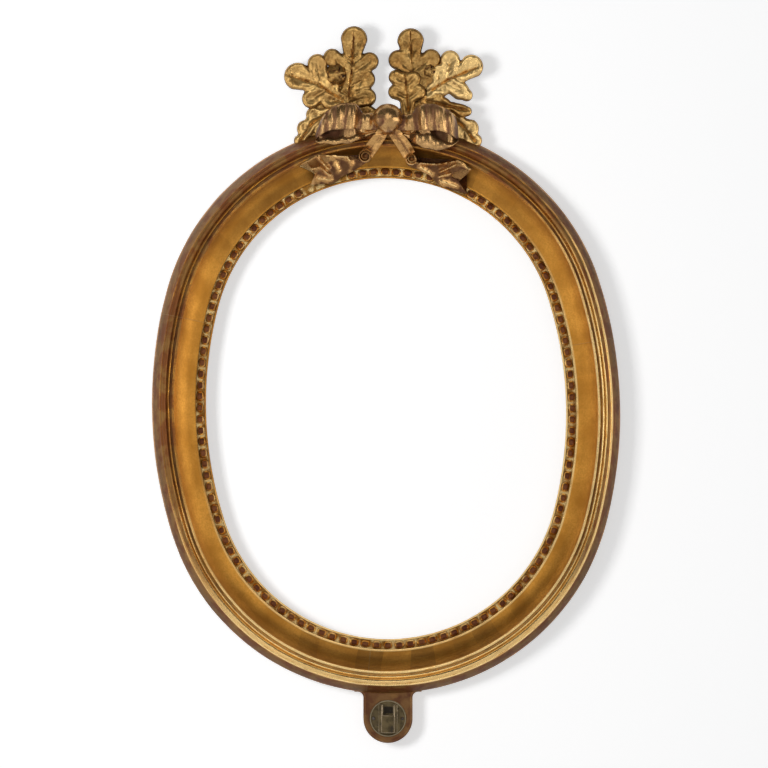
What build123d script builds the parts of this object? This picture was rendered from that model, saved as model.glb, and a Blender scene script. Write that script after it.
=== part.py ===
import os
from math import atan2, cos, degrees, radians, sin

from build123d import *

os.makedirs("parts", exist_ok=True)

# Sight opening and the four-centred oval (millimetres and degrees)
sight_width = 317.0
sight_height = 406.0
end_tightening = 7.5  # the end arcs are this much shorter in radius than half the width
oval_lean = 1.6  # the hand-cut oval leans this far anticlockwise

# Moulding section, widths from the sight edge outwards and heights above the back
back_layer = 12.0
sight_fillet = 1.6
sight_rise = 3.5
pearl_channel = 7.4
channel_depth = 1.2
inner_fillet = 1.8
inner_fillet_rise = 2.2
cove_width = 17.2
cove_rise = 14.0
cove_hollow = 3.2
outer_fillet = 1.8
quirk_width = 1.8
quirk_depth = 1.8
bead_width = 2.0
bead_rise = 0.9
groove_width = 0.9
groove_depth = 0.8
torus_width = 4.8
torus_rise = 2.1
arris_width = 1.0
arris_step = 0.3
side_run = 7.4
side_foot = 2.0  # upright strip below the sloping side

# Joints between the rails and between the back segments, as directions round the oval
rail_joint_right = 8.5
rail_joint_top = 90.0
rail_joint_left = 166.5
rail_joint_bottom = 263.0
back_joint_angle = 45.0

# Rebate for the picture
rebate_width = 6.0

# Pearl beading
pearl_pitch = 10.0
pearl_length = 8.4
pearl_height = 3.8
pearl_waist = 0.55  # share of a pearl's height where its side turns in
pearl_shoulder = 0.86  # share of its size at the waist
pearl_crown = 0.46  # share of its size at the top
pearl_corner = 0.28  # share of its width that is cut off each corner
pearl_bed = 0.7
pearl_clearance = 0.1
tail_cover_left = (101.0, 116.5)  # no pearls are carved under the ribbon tails
tail_cover_right = (60.5, 78.5)

# Crest of oak leaves
spray_back = 3.0
front_leaf_back = 6.0  # the small leaf that lies over the right spray starts here
acorn_radius = 10.4
leaf_rib_width = 3.2
leaf_rib_depth = 1.6
leaf_bevel = 1.8  # how far the lobes' carved edges slope in
backing_front = 14.0  # front of the wood between the leaves
dowel_radius = 3.0
dowel_height = 7.0
dowel_in_ring = 12.0
dowel_in_spray = 14.0
dowel_angles = (75.0, 84.0, 96.0, 105.0)

# Ribbon bow
knot_radius = 13.2
knot_height = 45.0
knot_stem_radius = 9.0
knot_place = (1.4, 3.9)
loop_back = 31.0
loop_front = 48.0
loop_swell = 6.0
loop_reach = 63.5
loop_root = 6.0
flute_count = 5
flute_rise = 1.5
flute_share = 0.86  # share of the loop that is fluted, before its rounded end
loop_wall = 3.0
loop_hollow_root = 17.0
loop_hollow_top = 0.5
loop_hollow_end = 7.2  # from the loop's end to the end of its hollow
loop_lip = -7.0  # lower edge of the front of each loop
loop_lip_depth = 42.0
tail_thickness = 4.5
roll_radius = 5.6
roll_height = 40.0

# Foot tongue and its socket
tongue_width = 43.4
tongue_drop = 22.3
tongue_offset = 1.7
tongue_back = 1.0
tongue_front = 13.5
tongue_bevel = 1.6
tongue_fillet = 5.0
tongue_shoulder = 8.0  # how far the tongue's top reaches past its sides, under the ring
tenon_width = 24.0
tenon_length = 14.0
tenon_low = 3.5
tenon_high = 9.5
tenon_clearance = 0.1
plate_radius = 16.2
plate_thickness = 1.5
plate_clearance = 0.2
plate_nail_offset = 12.6
nail_radius = 0.8
nail_length = 8.0
nail_head_radius = 1.5
nail_head_height = 0.6
sleeve_width = 9.0
sleeve_depth = 5.0
sleeve_wall = 1.2
sleeve_flange = 2.6
sleeve_height = 25.0
sleeve_front_height = 15.4

# Wall hanger
hanger_drop = 19.0  # pivot of the ring below the top of the oval
hanger_plate_width = 14.0
hanger_plate_height = 15.0
hanger_plate_thickness = 1.2
hanger_plate_corner = 2.0
hanger_pivot = 4.4
knuckle_length = 11.0
knuckle_wall = 1.2
ring_wire = 3.0
ring_half_width = 11.0
ring_drop = 19.0
ring_corner = 4.0
pivot_clearance = 0.05
hanger_screw_low = 6.0
hanger_screw_high = 11.6

# Screws and turn buttons on the back
screw_radius = 1.3
screw_length = 9.0
screw_head_radius = 2.7
screw_head_height = 1.1
button_angles = (32.0, 148.0, 212.0, 328.0)
button_names = ("upper_right", "upper_left", "lower_left", "lower_right")
button_hands = (1, -1, 1, -1)  # clockwise or anticlockwise along the edge from each pivot
button_length = 27.0
button_width = 9.0
button_thickness = 1.4
button_setback = 9.0  # pivot from the edge of the rebate
button_clearance = 0.1

# Worked-out sizes of the section and the oval
channel_start = sight_fillet
channel_end = channel_start + pearl_channel
cove_start = channel_end + inner_fillet
cove_end = cove_start + cove_width
quirk_start = cove_end + outer_fillet
bead_start = quirk_start + quirk_width
bead_end = bead_start + bead_width
torus_start = bead_end + groove_width
torus_end = torus_start + torus_width
arris = torus_end + arris_width
moulding_width = arris + side_run
sight_top = back_layer + sight_rise
channel_floor = sight_top - channel_depth
inner_top = sight_top + inner_fillet_rise
cove_top = inner_top + cove_rise
torus_crown = cove_top + torus_rise
half_width = sight_width / 2 + moulding_width
half_height = sight_height / 2 + moulding_width
end_radius = half_width - end_tightening
end_centre = half_height - end_radius
side_radius = (half_width**2 - end_radius**2 + end_centre**2) / (2 * end_tightening)
side_centre = side_radius - half_width
join_angle = degrees(atan2(end_centre, side_centre))
oval_top = end_centre * cos(radians(oval_lean)) + end_radius
hanger_level = oval_top - hanger_drop  # height of the origin above the oval's centre

# Sketch planes seen from the front: x to the right, y up, normal towards the viewer
crest = Plane(origin=(0, 0, hanger_drop), x_dir=(1, 0, 0), z_dir=(0, -1, 0))
foot = Plane(
    origin=(tongue_offset, 0, hanger_drop - 2 * oval_top), x_dir=(1, 0, 0), z_dir=(0, -1, 0)
)


def arcs_between(start, end):
    """Arcs of the oval from one direction to another: centre x, centre z, radius, first, last."""
    turn = radians(oval_lean)
    arcs = []
    for lap in (0, 360):
        arcs.append((-side_centre, 0, side_radius, lap - join_angle, lap + join_angle))
        arcs.append((0, end_centre, end_radius, lap + join_angle, lap + 180 - join_angle))
        arcs.append((side_centre, 0, side_radius, lap + 180 - join_angle, lap + 180 + join_angle))
        arcs.append((0, -end_centre, end_radius, lap + 180 + join_angle, lap + 360 - join_angle))
    found = []
    for x, z, radius, first, last in arcs:
        first = max(first, start)
        last = min(last, end)
        if last - first > 0.001:
            centre_x = x * cos(turn) - z * sin(turn)
            centre_z = x * sin(turn) + z * cos(turn)
            found.append((centre_x, centre_z, radius, first + oval_lean, last + oval_lean))
    return found


def section_plane(centre_x, centre_z, angle):
    """Plane across the moulding: x from the arc's centre outwards, y towards the viewer."""
    across = radians(angle)
    return Plane(
        origin=(centre_x, 0, centre_z - hanger_level),
        x_dir=(cos(across), 0, sin(across)),
        z_dir=(sin(across), 0, -cos(across)),
    )


def run_moulding(section, start, end):
    """Carry a section round the oval between two directions, in the current part."""
    for centre_x, centre_z, radius, first, last in arcs_between(start, end):
        with BuildSketch(section_plane(centre_x, centre_z, first)) as placed:
            with Locations((radius - moulding_width, 0)):
                add(section)
        turning = Axis((centre_x, 0, centre_z - hanger_level), (0, -1, 0))
        revolve(placed.sketch, axis=turning, revolution_arc=last - first)


def place_on_oval(angle, inset, height):
    """Plane on the oval: x outwards, normal to the viewer, inset from the sight edge outwards."""
    centre_x, centre_z, radius, first, last = arcs_between(angle, angle + 1)[0]
    across = radians(first)
    reach = radius - moulding_width + inset
    return Plane(
        origin=(centre_x + reach * cos(across), -height, centre_z + reach * sin(across) - hanger_level),
        x_dir=(cos(across), 0, sin(across)),
        z_dir=(0, -1, 0),
    )


def write(piece, name):
    piece.part.label = name
    export_step(piece.part, f"parts/{name}.step")


# Section of the rails
cove_slope = atan2(cove_rise, cove_width)
cove_middle = (
    cove_start + cove_width / 2 + cove_hollow * sin(cove_slope),
    inner_top + cove_rise / 2 - cove_hollow * cos(cove_slope),
)
with BuildSketch() as rail_section:
    with BuildLine():
        Polyline(
            (0, back_layer),
            (0, sight_top),
            (channel_start, sight_top),
            (channel_start, channel_floor),
            (channel_end, channel_floor),
            (channel_end, inner_top),
            (cove_start, inner_top),
        )
        ThreePointArc((cove_start, inner_top), cove_middle, (cove_end, cove_top))
        Polyline(
            (cove_end, cove_top),
            (quirk_start, cove_top),
            (quirk_start, cove_top - quirk_depth),
            (bead_start, cove_top - quirk_depth),
            (bead_start, cove_top),
        )
        ThreePointArc(
            (bead_start, cove_top), ((bead_start + bead_end) / 2, cove_top + bead_rise), (bead_end, cove_top)
        )
        Polyline(
            (bead_end, cove_top),
            ((bead_end + torus_start) / 2, cove_top - groove_depth),
            (torus_start, cove_top),
        )
        ThreePointArc(
            (torus_start, cove_top), ((torus_start + torus_end) / 2, torus_crown), (torus_end, cove_top)
        )
        Polyline(
            (torus_end, cove_top),
            (torus_end, cove_top - arris_step),
            (arris, cove_top),
            (moulding_width, back_layer + side_foot),
            (moulding_width, back_layer),
            (0, back_layer),
        )
    make_face()

with BuildSketch() as back_section:
    with Locations((rebate_width, 0)):
        Rectangle(moulding_width - rebate_width, back_layer, align=(Align.MIN, Align.MIN))

with BuildSketch() as bed_section:
    with Locations((channel_start + pearl_clearance, channel_floor)):
        Rectangle(pearl_channel - 2 * pearl_clearance, pearl_bed, align=(Align.MIN, Align.MIN))

with BuildSketch() as whole_section:
    add(rail_section.sketch)
    Rectangle(moulding_width, back_layer, align=(Align.MIN, Align.MIN))
    with Locations((channel_start, channel_floor)):
        Rectangle(pearl_channel, pearl_bed, align=(Align.MIN, Align.MIN))

# The whole ring of wood, used to scribe the crest and the tongue to it
with BuildPart() as whole_ring:
    run_moulding(whole_section.sketch, 0, 360)

# Rails: the moulded front layer
rail_spans = {
    "upper_right": (rail_joint_right, rail_joint_top),
    "upper_left": (rail_joint_top, rail_joint_left),
    "lower_left": (rail_joint_left, rail_joint_bottom),
    "lower_right": (rail_joint_bottom, rail_joint_right + 360),
}
for side, (start, end) in rail_spans.items():
    with BuildPart() as rail:
        run_moulding(rail_section.sketch, start, end)
    write(rail, f"rail_{side}")

# Pearl beading: eight-sided cushions on a thin bed, one length for each rail
pearl_width = pearl_channel - 2 * pearl_clearance
with BuildPart() as pearl:
    for share, level in ((1, 0), (pearl_shoulder, pearl_height * pearl_waist), (pearl_crown, pearl_height)):
        with BuildSketch(Plane.XY.offset(level)) as slice_of_pearl:
            Rectangle(pearl_width * share, pearl_length * share)
            chamfer(slice_of_pearl.vertices(), pearl_width * share * pearl_corner)
    loft(ruled=True)

pearl_line = (channel_start + channel_end) / 2


def pearl_places(start, end):
    """Evenly spaced places for the pearls of one length, clear of the ribbon tails."""
    arcs = arcs_between(start, end)
    lengths = []
    for _, _, radius, first, last in arcs:
        lengths.append(radians(last - first) * (radius - moulding_width + pearl_line))
    count = round(sum(lengths) / pearl_pitch)
    places = []
    for index in range(count):
        travel = (index + 0.5) * sum(lengths) / count
        for (_, _, radius, first, last), length in zip(arcs, lengths):
            if travel <= length:
                angle = first + (last - first) * travel / length - oval_lean
                break
            travel -= length
        covered = [low < angle < high for low, high in (tail_cover_left, tail_cover_right)]
        if not any(covered):
            places.append(place_on_oval(angle, pearl_line, channel_floor + pearl_bed / 2))
    return places


for side, (start, end) in rail_spans.items():
    with BuildPart() as pearls:
        run_moulding(bed_section.sketch, start, end)
        with Locations(*pearl_places(start, end)):
            add(pearl.part)
    write(pearls, f"pearls_{side}")

# Dowels between the back ring and the oak sprays
with BuildPart() as crest_dowels:
    for angle in dowel_angles:
        seat = place_on_oval(angle, moulding_width - dowel_in_ring, dowel_height)
        with BuildSketch(Plane(origin=seat.origin, x_dir=(0, -1, 0), z_dir=seat.x_dir)):
            Circle(dowel_radius)
        extrude(amount=dowel_in_ring + dowel_in_spray)
write(crest_dowels, "crest_dowels")


# Screws on the back, drawn with the head's underside at the origin and the shank downwards
def back_screw(seats):
    with Locations(*seats):
        Cylinder(screw_radius, screw_length, align=(Align.CENTER, Align.CENTER, Align.MAX))
        Cone(
            screw_head_radius,
            screw_radius,
            screw_head_height,
            align=(Align.CENTER, Align.CENTER, Align.MIN),
        )


def behind(plane, height):
    """The same place on the back of the frame, its normal away from the viewer."""
    return Plane(origin=plane.origin - plane.z_dir * height, x_dir=plane.x_dir, z_dir=-plane.z_dir)


# Wall hanger: plate with a rolled knuckle, and its two screws
hanger = Plane(origin=(0, 0, 0), x_dir=(-1, 0, 0), z_dir=(0, 1, 0))
knuckle_radius = ring_wire / 2 + pivot_clearance + knuckle_wall
with BuildPart() as hanger_plate:
    with BuildSketch(hanger):
        with Locations((0, hanger_plate_height / 2 - knuckle_radius / 2)):
            RectangleRounded(hanger_plate_width, hanger_plate_height + knuckle_radius, hanger_plate_corner)
    extrude(amount=hanger_plate_thickness)
    with BuildSketch(Plane.YZ.offset(-knuckle_length / 2)):
        with Locations((hanger_pivot, 0)):
            Circle(knuckle_radius)
        with Locations((0, 0)):
            Rectangle(hanger_pivot, 2 * knuckle_radius, align=(Align.MIN, Align.CENTER))
    extrude(amount=knuckle_length)
    with BuildSketch(Plane.YZ.offset(-hanger_plate_width)):
        with Locations((hanger_pivot, 0)):
            Circle(ring_wire / 2 + pivot_clearance)
    extrude(amount=2 * hanger_plate_width, mode=Mode.SUBTRACT)
    with BuildSketch(hanger):
        with Locations((0, hanger_screw_low), (0, hanger_screw_high)):
            Circle(screw_radius)
    extrude(amount=hanger_plate_thickness, mode=Mode.SUBTRACT)
write(hanger_plate, "hanger_plate")

screw_seats = [
    Plane(origin=(0, hanger_plate_thickness, level), x_dir=(-1, 0, 0), z_dir=(0, 1, 0))
    for level in (hanger_screw_low, hanger_screw_high)
]
with BuildPart() as hanger_screws:
    back_screw(screw_seats)
write(hanger_screws, "hanger_screws")

# D-shaped ring, hanging from the knuckle
ring_plane = Plane(origin=(0, hanger_pivot, 0), x_dir=(-1, 0, 0), z_dir=(0, 1, 0))
with BuildPart() as hanger_ring:
    with BuildLine(ring_plane) as ring_path:
        Line((0, 0), (ring_half_width - ring_corner, 0))
        RadiusArc((ring_half_width - ring_corner, 0), (ring_half_width, -ring_corner), ring_corner)
        Line((ring_half_width, -ring_corner), (ring_half_width, -(ring_drop - ring_half_width)))
        ThreePointArc(
            (ring_half_width, -(ring_drop - ring_half_width)),
            (0, -ring_drop),
            (-ring_half_width, -(ring_drop - ring_half_width)),
        )
        Line((-ring_half_width, -(ring_drop - ring_half_width)), (-ring_half_width, -ring_corner))
        RadiusArc((-ring_half_width, -ring_corner), (-(ring_half_width - ring_corner), 0), ring_corner)
        Line((-(ring_half_width - ring_corner), 0), (0, 0))
    with BuildSketch(Plane(origin=(0, hanger_pivot, 0), x_dir=(0, 1, 0), z_dir=(-1, 0, 0))):
        Circle(ring_wire / 2)
    sweep(path=ring_path.wires()[0])
write(hanger_ring, "hanger_ring")

# Turn buttons at the edge of the rebate, stored lying along it, and their pivot screws
button_seats = [place_on_oval(angle, rebate_width + button_setback, 0) for angle in button_angles]
for name, hand, seat in zip(button_names, button_hands, button_seats):
    with BuildPart() as button:
        with BuildSketch(behind(seat, button_clearance)):
            with Locations((0, hand * (button_length - button_width) / 2)):
                SlotOverall(button_length, button_width, rotation=90)
            Circle(screw_radius + pivot_clearance, mode=Mode.SUBTRACT)
        extrude(amount=button_thickness)
        chamfer(button.faces().sort_by(Axis.Y)[-1].outer_wire().edges(), button_thickness / 4)
    write(button, f"turn_button_{name}")

with BuildPart() as button_screws:
    back_screw([behind(seat, button_thickness + 2 * button_clearance) for seat in button_seats])
write(button_screws, "button_screws")

# Back ring: four plain segments whose opening is wider than the rails' by the rebate
tenon_plane = foot.offset(tenon_low - tenon_clearance)
for index, side in enumerate(("top", "left", "bottom", "right")):
    start = back_joint_angle + 90 * index
    with BuildPart() as back:
        run_moulding(back_section.sketch, start, start + 90)
        if side == "top":
            add(crest_dowels.part, mode=Mode.SUBTRACT)
            add(hanger_screws.part, mode=Mode.SUBTRACT)
        if side == "bottom":
            with BuildSketch(tenon_plane):
                Rectangle(
                    tenon_width + 2 * tenon_clearance,
                    2 * (tenon_length + tenon_clearance),
                )
            extrude(amount=tenon_high - tenon_low + 2 * tenon_clearance, mode=Mode.SUBTRACT)
        if side in ("left", "right"):
            add(button_screws.part, mode=Mode.SUBTRACT)
    write(back, f"back_ring_{side}")


# Oak leaves: a blade through the lobes' centres, a bevelled round lobe at each, and a cut midrib
def leaf(back, front, lobes, rib):
    with BuildSketch(crest.offset(back)) as blade:
        with BuildLine():
            Polyline(*[(x, z) for x, z, _ in lobes], close=True)
        make_face()
    extrude(blade.sketch, amount=front - back)
    for x, z, radius in lobes:
        foot_of_lobe = crest.from_local_coords(Vector(x, z, back))
        with Locations(Plane(origin=foot_of_lobe, x_dir=crest.x_dir, z_dir=crest.z_dir)):
            Cone(
                radius,
                radius - leaf_bevel,
                front - back,
                align=(Align.CENTER, Align.CENTER, Align.MIN),
            )
    (base_x, base_z), (tip_x, tip_z) = rib
    along = Vector(tip_x - base_x, 0, tip_z - base_z)
    origin = crest.origin + Vector(base_x, -front, base_z)
    across = Plane(origin=origin, x_dir=along.cross(Vector(0, -1, 0)), z_dir=along)
    with BuildSketch(across) as groove:
        Polygon(
            (-leaf_rib_width / 2, leaf_rib_depth / 4),
            (0, -leaf_rib_depth),
            (leaf_rib_width / 2, leaf_rib_depth / 4),
            align=None,
        )
    extrude(groove.sketch, amount=along.length, mode=Mode.SUBTRACT)


def acorn(x, z, front):
    with Locations(crest.from_local_coords(Vector(x, z, front - acorn_radius))):
        Sphere(acorn_radius)


def backing(points):
    with BuildSketch(crest.offset(spray_back)) as outline:
        with BuildLine():
            Polyline(*points, close=True)
        make_face()
    extrude(outline.sketch, amount=backing_front - spray_back)


with BuildPart() as oak_spray_left:
    backing([(-64, 22), (-58, 46), (-42, 56), (-22, 48), (-12, 24), (-4, 8), (-4, -18), (-66, -34)])
    leaf(
        spray_back,
        18.0,
        [
            (-28.2, 74, 11.9), (-15.5, 55.1, 8.4), (-19.7, 38.2, 9.2),
            (-18.3, 21.4, 9.2), (-34, 22, 7), (-47, 57.9, 7.7),
        ],
        ((-32, 24), (-28.2, 80)),
    )
    leaf(
        spray_back,
        16.0,
        [
            (-78.6, 42.4, 11.6), (-61.1, 53, 8.4), (-49, 45, 7),
            (-35, 22.5, 5.5), (-49.3, 23.4, 8), (-66, 21.6, 8),
        ],
        ((-36, 20), (-86, 43)),
    )
    leaf(
        spray_back,
        15.0,
        [(-62.5, 6.7, 8), (-73, -6.5, 8), (-75.7, -15.3, 5), (-45, -2, 8)],
        ((-50, 6), (-74, -12)),
    )
    acorn(-43.6, 42.4, 25.0)
    add(whole_ring.part, mode=Mode.SUBTRACT)
    add(crest_dowels.part, mode=Mode.SUBTRACT)
write(oak_spray_left, "oak_spray_left")

with BuildPart() as oak_spray_right:
    backing(
        [
            (55, 20), (60, 30), (57, 50), (44, 56), (22, 56),
            (14, 40), (14, 24), (5, 8), (5, -18), (66, -34),
        ]
    )
    leaf(
        spray_back,
        18.0,
        [(21.7, 71.9, 11.9), (37.8, 57.9, 8.8), (34.3, 34, 8), (14, 36, 8), (11.2, 56.5, 9.2)],
        ((24, 36), (21.7, 80)),
    )
    leaf(
        spray_back,
        16.0,
        [
            (56.8, 56.5, 9.2), (73.9, 50.7, 10.5), (63.4, 28.7, 8),
            (51.9, 34, 7), (40.5, 31.3, 6), (44, 50.7, 7),
        ],
        ((40, 32), (78, 50)),
    )
    leaf(spray_back, 16.5, [(66.6, 12.9, 8.5), (52, 13.7, 7), (38.7, 20.8, 6)], ((42, 19), (70, 12)))
    leaf(spray_back, 15.0, [(73, -3.9, 8.5), (78.3, -15.3, 6), (60.7, 3.2, 8)], ((60, 4), (78, -14)))
    leaf(
        front_leaf_back,
        20.0,
        [
            (17.6, 44.5, 5), (25.5, 40.1, 6.5), (29.4, 27.8, 6.5),
            (18.5, 12, 3.5), (10.6, 25.6, 7), (9.7, 39.6, 7),
        ],
        ((18.5, 12), (17.6, 44)),
    )
    acorn(39.2, 46.3, 24.0)
    add(whole_ring.part, mode=Mode.SUBTRACT)
    add(crest_dowels.part, mode=Mode.SUBTRACT)
write(oak_spray_right, "oak_spray_right")

# Knot of the bow: a ball on a stub that stands on the sprays and the rail
knot_x, knot_z = knot_place
with BuildPart() as bow_knot:
    with BuildSketch(crest.offset(backing_front)):
        with Locations(knot_place):
            Circle(knot_stem_radius)
    extrude(amount=knot_height - backing_front)
    with Locations(crest.from_local_coords(Vector(knot_x, knot_z, knot_height))):
        Sphere(knot_radius)
    add(whole_ring.part, mode=Mode.SUBTRACT)
write(bow_knot, "bow_knot")


# Bow loops: a fluted ribbon seen from above, cut to its outline from the front and hollowed
def bow_loop(hand, outline):
    def seen_above(reach, height):
        return (knot_x + hand * reach, -height)

    def swell(reach):
        return loop_front + loop_swell * sin(radians(180 * (reach - loop_root) / (loop_reach - loop_root)))

    low = min(z for _, z in outline)
    flute_width = (loop_reach - loop_root) * flute_share / flute_count
    edges = [loop_root + flute_width * index for index in range(flute_count + 1)]
    base = Plane.XY.offset(crest.origin.Z + low)
    with BuildSketch(base) as from_above:
        with BuildLine():
            for first, last in zip(edges, edges[1:]):
                middle = (first + last) / 2
                ThreePointArc(
                    seen_above(first, swell(first)),
                    seen_above(middle, swell(middle) + flute_rise),
                    seen_above(last, swell(last)),
                )
            ThreePointArc(
                seen_above(edges[-1], swell(edges[-1])),
                seen_above(loop_reach, (loop_front + loop_back) / 2),
                seen_above(edges[-1], loop_back),
            )
            Polyline(
                seen_above(edges[-1], loop_back),
                seen_above(loop_root, loop_back),
                seen_above(loop_root, swell(loop_root)),
            )
        make_face()
    extrude(from_above.sketch, amount=max(z for _, z in outline) - low)
    with BuildSketch(crest.offset(loop_back)) as from_front:
        with BuildLine():
            shape = [(hand * share * loop_reach, z) for share, z in outline]
            for index in range(0, len(shape), 2):
                ThreePointArc(shape[index], shape[index + 1], shape[(index + 2) % len(shape)])
        make_face()
    extrude(from_front.sketch, amount=2 * loop_front, mode=Mode.INTERSECT)
    hollow_end = loop_reach - loop_hollow_end
    bend = hollow_end - 2 * loop_wall  # where the hollow starts to close
    middle = (loop_hollow_root + bend) / 2
    with BuildSketch(base) as hollow:
        with BuildLine():
            ThreePointArc(
                seen_above(loop_hollow_root, loop_front - loop_wall),
                seen_above(middle, swell(middle) - loop_wall),
                seen_above(bend, swell(bend) - loop_wall),
            )
            ThreePointArc(
                seen_above(bend, swell(bend) - loop_wall),
                seen_above(hollow_end, (loop_front + cove_top) / 2 + loop_wall),
                seen_above(bend, cove_top + 2 * loop_wall),
            )
            Polyline(
                seen_above(bend, cove_top + 2 * loop_wall),
                seen_above(loop_hollow_root, loop_front - loop_wall),
            )
        make_face()
    extrude(hollow.sketch, amount=loop_hollow_top - low, mode=Mode.SUBTRACT)
    with BuildSketch(crest.offset(loop_lip_depth)) as below_lip:
        with Locations((hand * loop_reach / 2, loop_lip)):
            Rectangle(2 * loop_reach, loop_reach, align=(Align.CENTER, Align.MAX))
    extrude(below_lip.sketch, amount=loop_front, mode=Mode.SUBTRACT)
    add(whole_ring.part, mode=Mode.SUBTRACT)
    add(bow_knot.part, mode=Mode.SUBTRACT)


# outlines seen from the front: share of the reach, and height above the oval's top
with BuildPart() as bow_loop_left:
    bow_loop(
        -1,
        [
            (0.126, 10.2), (0.331, 10.8), (0.509, 17.2), (0.753, 12.9), (0.907, 0.4),
            (0.973, -12.3), (0.951, -17.9), (0.753, -19.8), (0.420, -15.8), (0.126, -8),
        ],
    )
write(bow_loop_left, "bow_loop_left")

with BuildPart() as bow_loop_right:
    bow_loop(
        1,
        [
            (0.126, 10.2), (0.346, 12.0), (0.507, 17.2), (0.795, 15.8), (0.970, 7.4),
            (1.005, -12.3), (0.906, -22.1), (0.685, -24.9), (0.375, -17.9), (0.126, -9),
        ],
    )
write(bow_loop_right, "bow_loop_right")

# Ribbon tails: a sheet laid over the moulding, cut to the tails' outlines, with a rolled end
with BuildSketch() as drape_section:
    with BuildLine():
        Polyline(
            (0, back_layer),
            (0, sight_top + tail_thickness),
            (cove_start, inner_top + tail_thickness),
            (cove_middle[0], cove_middle[1] + tail_thickness),
            (cove_end, cove_top + tail_thickness / 2),
            ((torus_start + torus_end) / 2, torus_crown + tail_thickness),
            (arris, cove_top + tail_thickness),
            (moulding_width, back_layer + side_foot + 2 * tail_thickness),
            (moulding_width, back_layer),
            close=True,
        )
    make_face()

with BuildPart() as drape:
    run_moulding(drape_section.sketch, back_joint_angle, back_joint_angle + 90)


def ribbon_tail(band, end, roll):
    with BuildSketch(crest) as outline:
        for points in (band, end):
            with BuildLine():
                Polyline(*points, close=True)
            make_face()
    extrude(outline.sketch, amount=2 * roll_height)
    add(drape.part, mode=Mode.INTERSECT)
    with BuildSketch(crest.offset(back_layer)) as curl:
        with Locations(roll):
            Circle(roll_radius)
    extrude(curl.sketch, amount=roll_height - back_layer)
    add(whole_ring.part, mode=Mode.SUBTRACT)
    add(bow_knot.part, mode=Mode.SUBTRACT)


with BuildPart() as bow_tail_left:
    ribbon_tail(
        [(-1.4, -6), (-12, -8), (-24, -27), (-15, -33)],
        [(-22, -26), (-62, -28.8), (-75.5, -36.9), (-63.2, -43.9), (-66, -52.9), (-45.8, -47.9), (-22, -33)],
        (-18.3, -29.3),
    )
    add(bow_loop_left.part, mode=Mode.SUBTRACT)
write(bow_tail_left, "bow_tail_left")

with BuildPart() as bow_tail_right:
    ribbon_tail(
        [(4.2, -6), (15, -8), (28, -26), (18, -34)],
        [(22, -30), (62.5, -31.9), (74.9, -41.1), (66.5, -49), (71, -59), (50.2, -50.7), (22, -36)],
        (21.0, -31.6),
    )
    add(bow_loop_right.part, mode=Mode.SUBTRACT)
write(bow_tail_right, "bow_tail_right")

# Foot tongue: round-ended, scribed to the ring, with a tenon into the back layer
shoulder = tongue_width**2 / (8 * end_radius)  # how far the ring rises across the tongue
with BuildPart() as foot_tongue:
    with BuildSketch(foot.offset(tongue_back)) as tongue_outline:
        with Locations((0, tenon_length)):
            Rectangle(tongue_width, tongue_drop + tenon_length, align=(Align.CENTER, Align.MAX))
        with Locations((0, -tongue_drop)):
            Circle(tongue_width / 2)
        with Locations((0, shoulder)):
            Rectangle(
                tongue_width + 2 * tongue_shoulder, tenon_length, align=(Align.CENTER, Align.MIN)
            )
        inner_corners = tongue_outline.vertices().group_by(Axis.Y)[-2].sort_by(Axis.X)[1:3]
        fillet(inner_corners, tongue_fillet)
    extrude(amount=tongue_front - tongue_back)
    chamfer(foot_tongue.faces().sort_by(Axis.Y)[0].edges(), tongue_bevel)
    add(whole_ring.part, mode=Mode.SUBTRACT)
    with BuildSketch(foot.offset(tenon_low)):
        with Locations((0, tenon_length)):
            Rectangle(tenon_width, tenon_length + tongue_drop / 2, align=(Align.CENTER, Align.MAX))
    extrude(amount=tenon_high - tenon_low)
    with BuildSketch(foot.offset(tongue_front)):
        with Locations((0, -tongue_drop)):
            Circle(plate_radius + plate_clearance)
    extrude(amount=-plate_thickness, mode=Mode.SUBTRACT)
    with BuildSketch(foot.offset(tongue_front)):
        with Locations((-plate_nail_offset, -tongue_drop), (plate_nail_offset, -tongue_drop)):
            Circle(nail_radius)
    extrude(amount=-nail_length, mode=Mode.SUBTRACT)
write(foot_tongue, "foot_tongue")

# Socket plate and the nails that hold it
with BuildPart() as socket_plate:
    with BuildSketch(foot.offset(tongue_front - plate_thickness)):
        with Locations((0, -tongue_drop)):
            Circle(plate_radius)
        with Locations((-plate_nail_offset, -tongue_drop), (plate_nail_offset, -tongue_drop)):
            Circle(nail_radius, mode=Mode.SUBTRACT)
    extrude(amount=plate_thickness)
write(socket_plate, "socket_plate")

with BuildPart() as socket_nails:
    with BuildSketch(foot.offset(tongue_front)):
        with Locations((-plate_nail_offset, -tongue_drop), (plate_nail_offset, -tongue_drop)):
            Circle(nail_radius)
    extrude(amount=-nail_length)
    with BuildSketch(foot.offset(tongue_front)):
        with Locations((-plate_nail_offset, -tongue_drop), (plate_nail_offset, -tongue_drop)):
            Circle(nail_head_radius)
    extrude(amount=nail_head_height)
write(socket_nails, "socket_nails")

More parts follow.
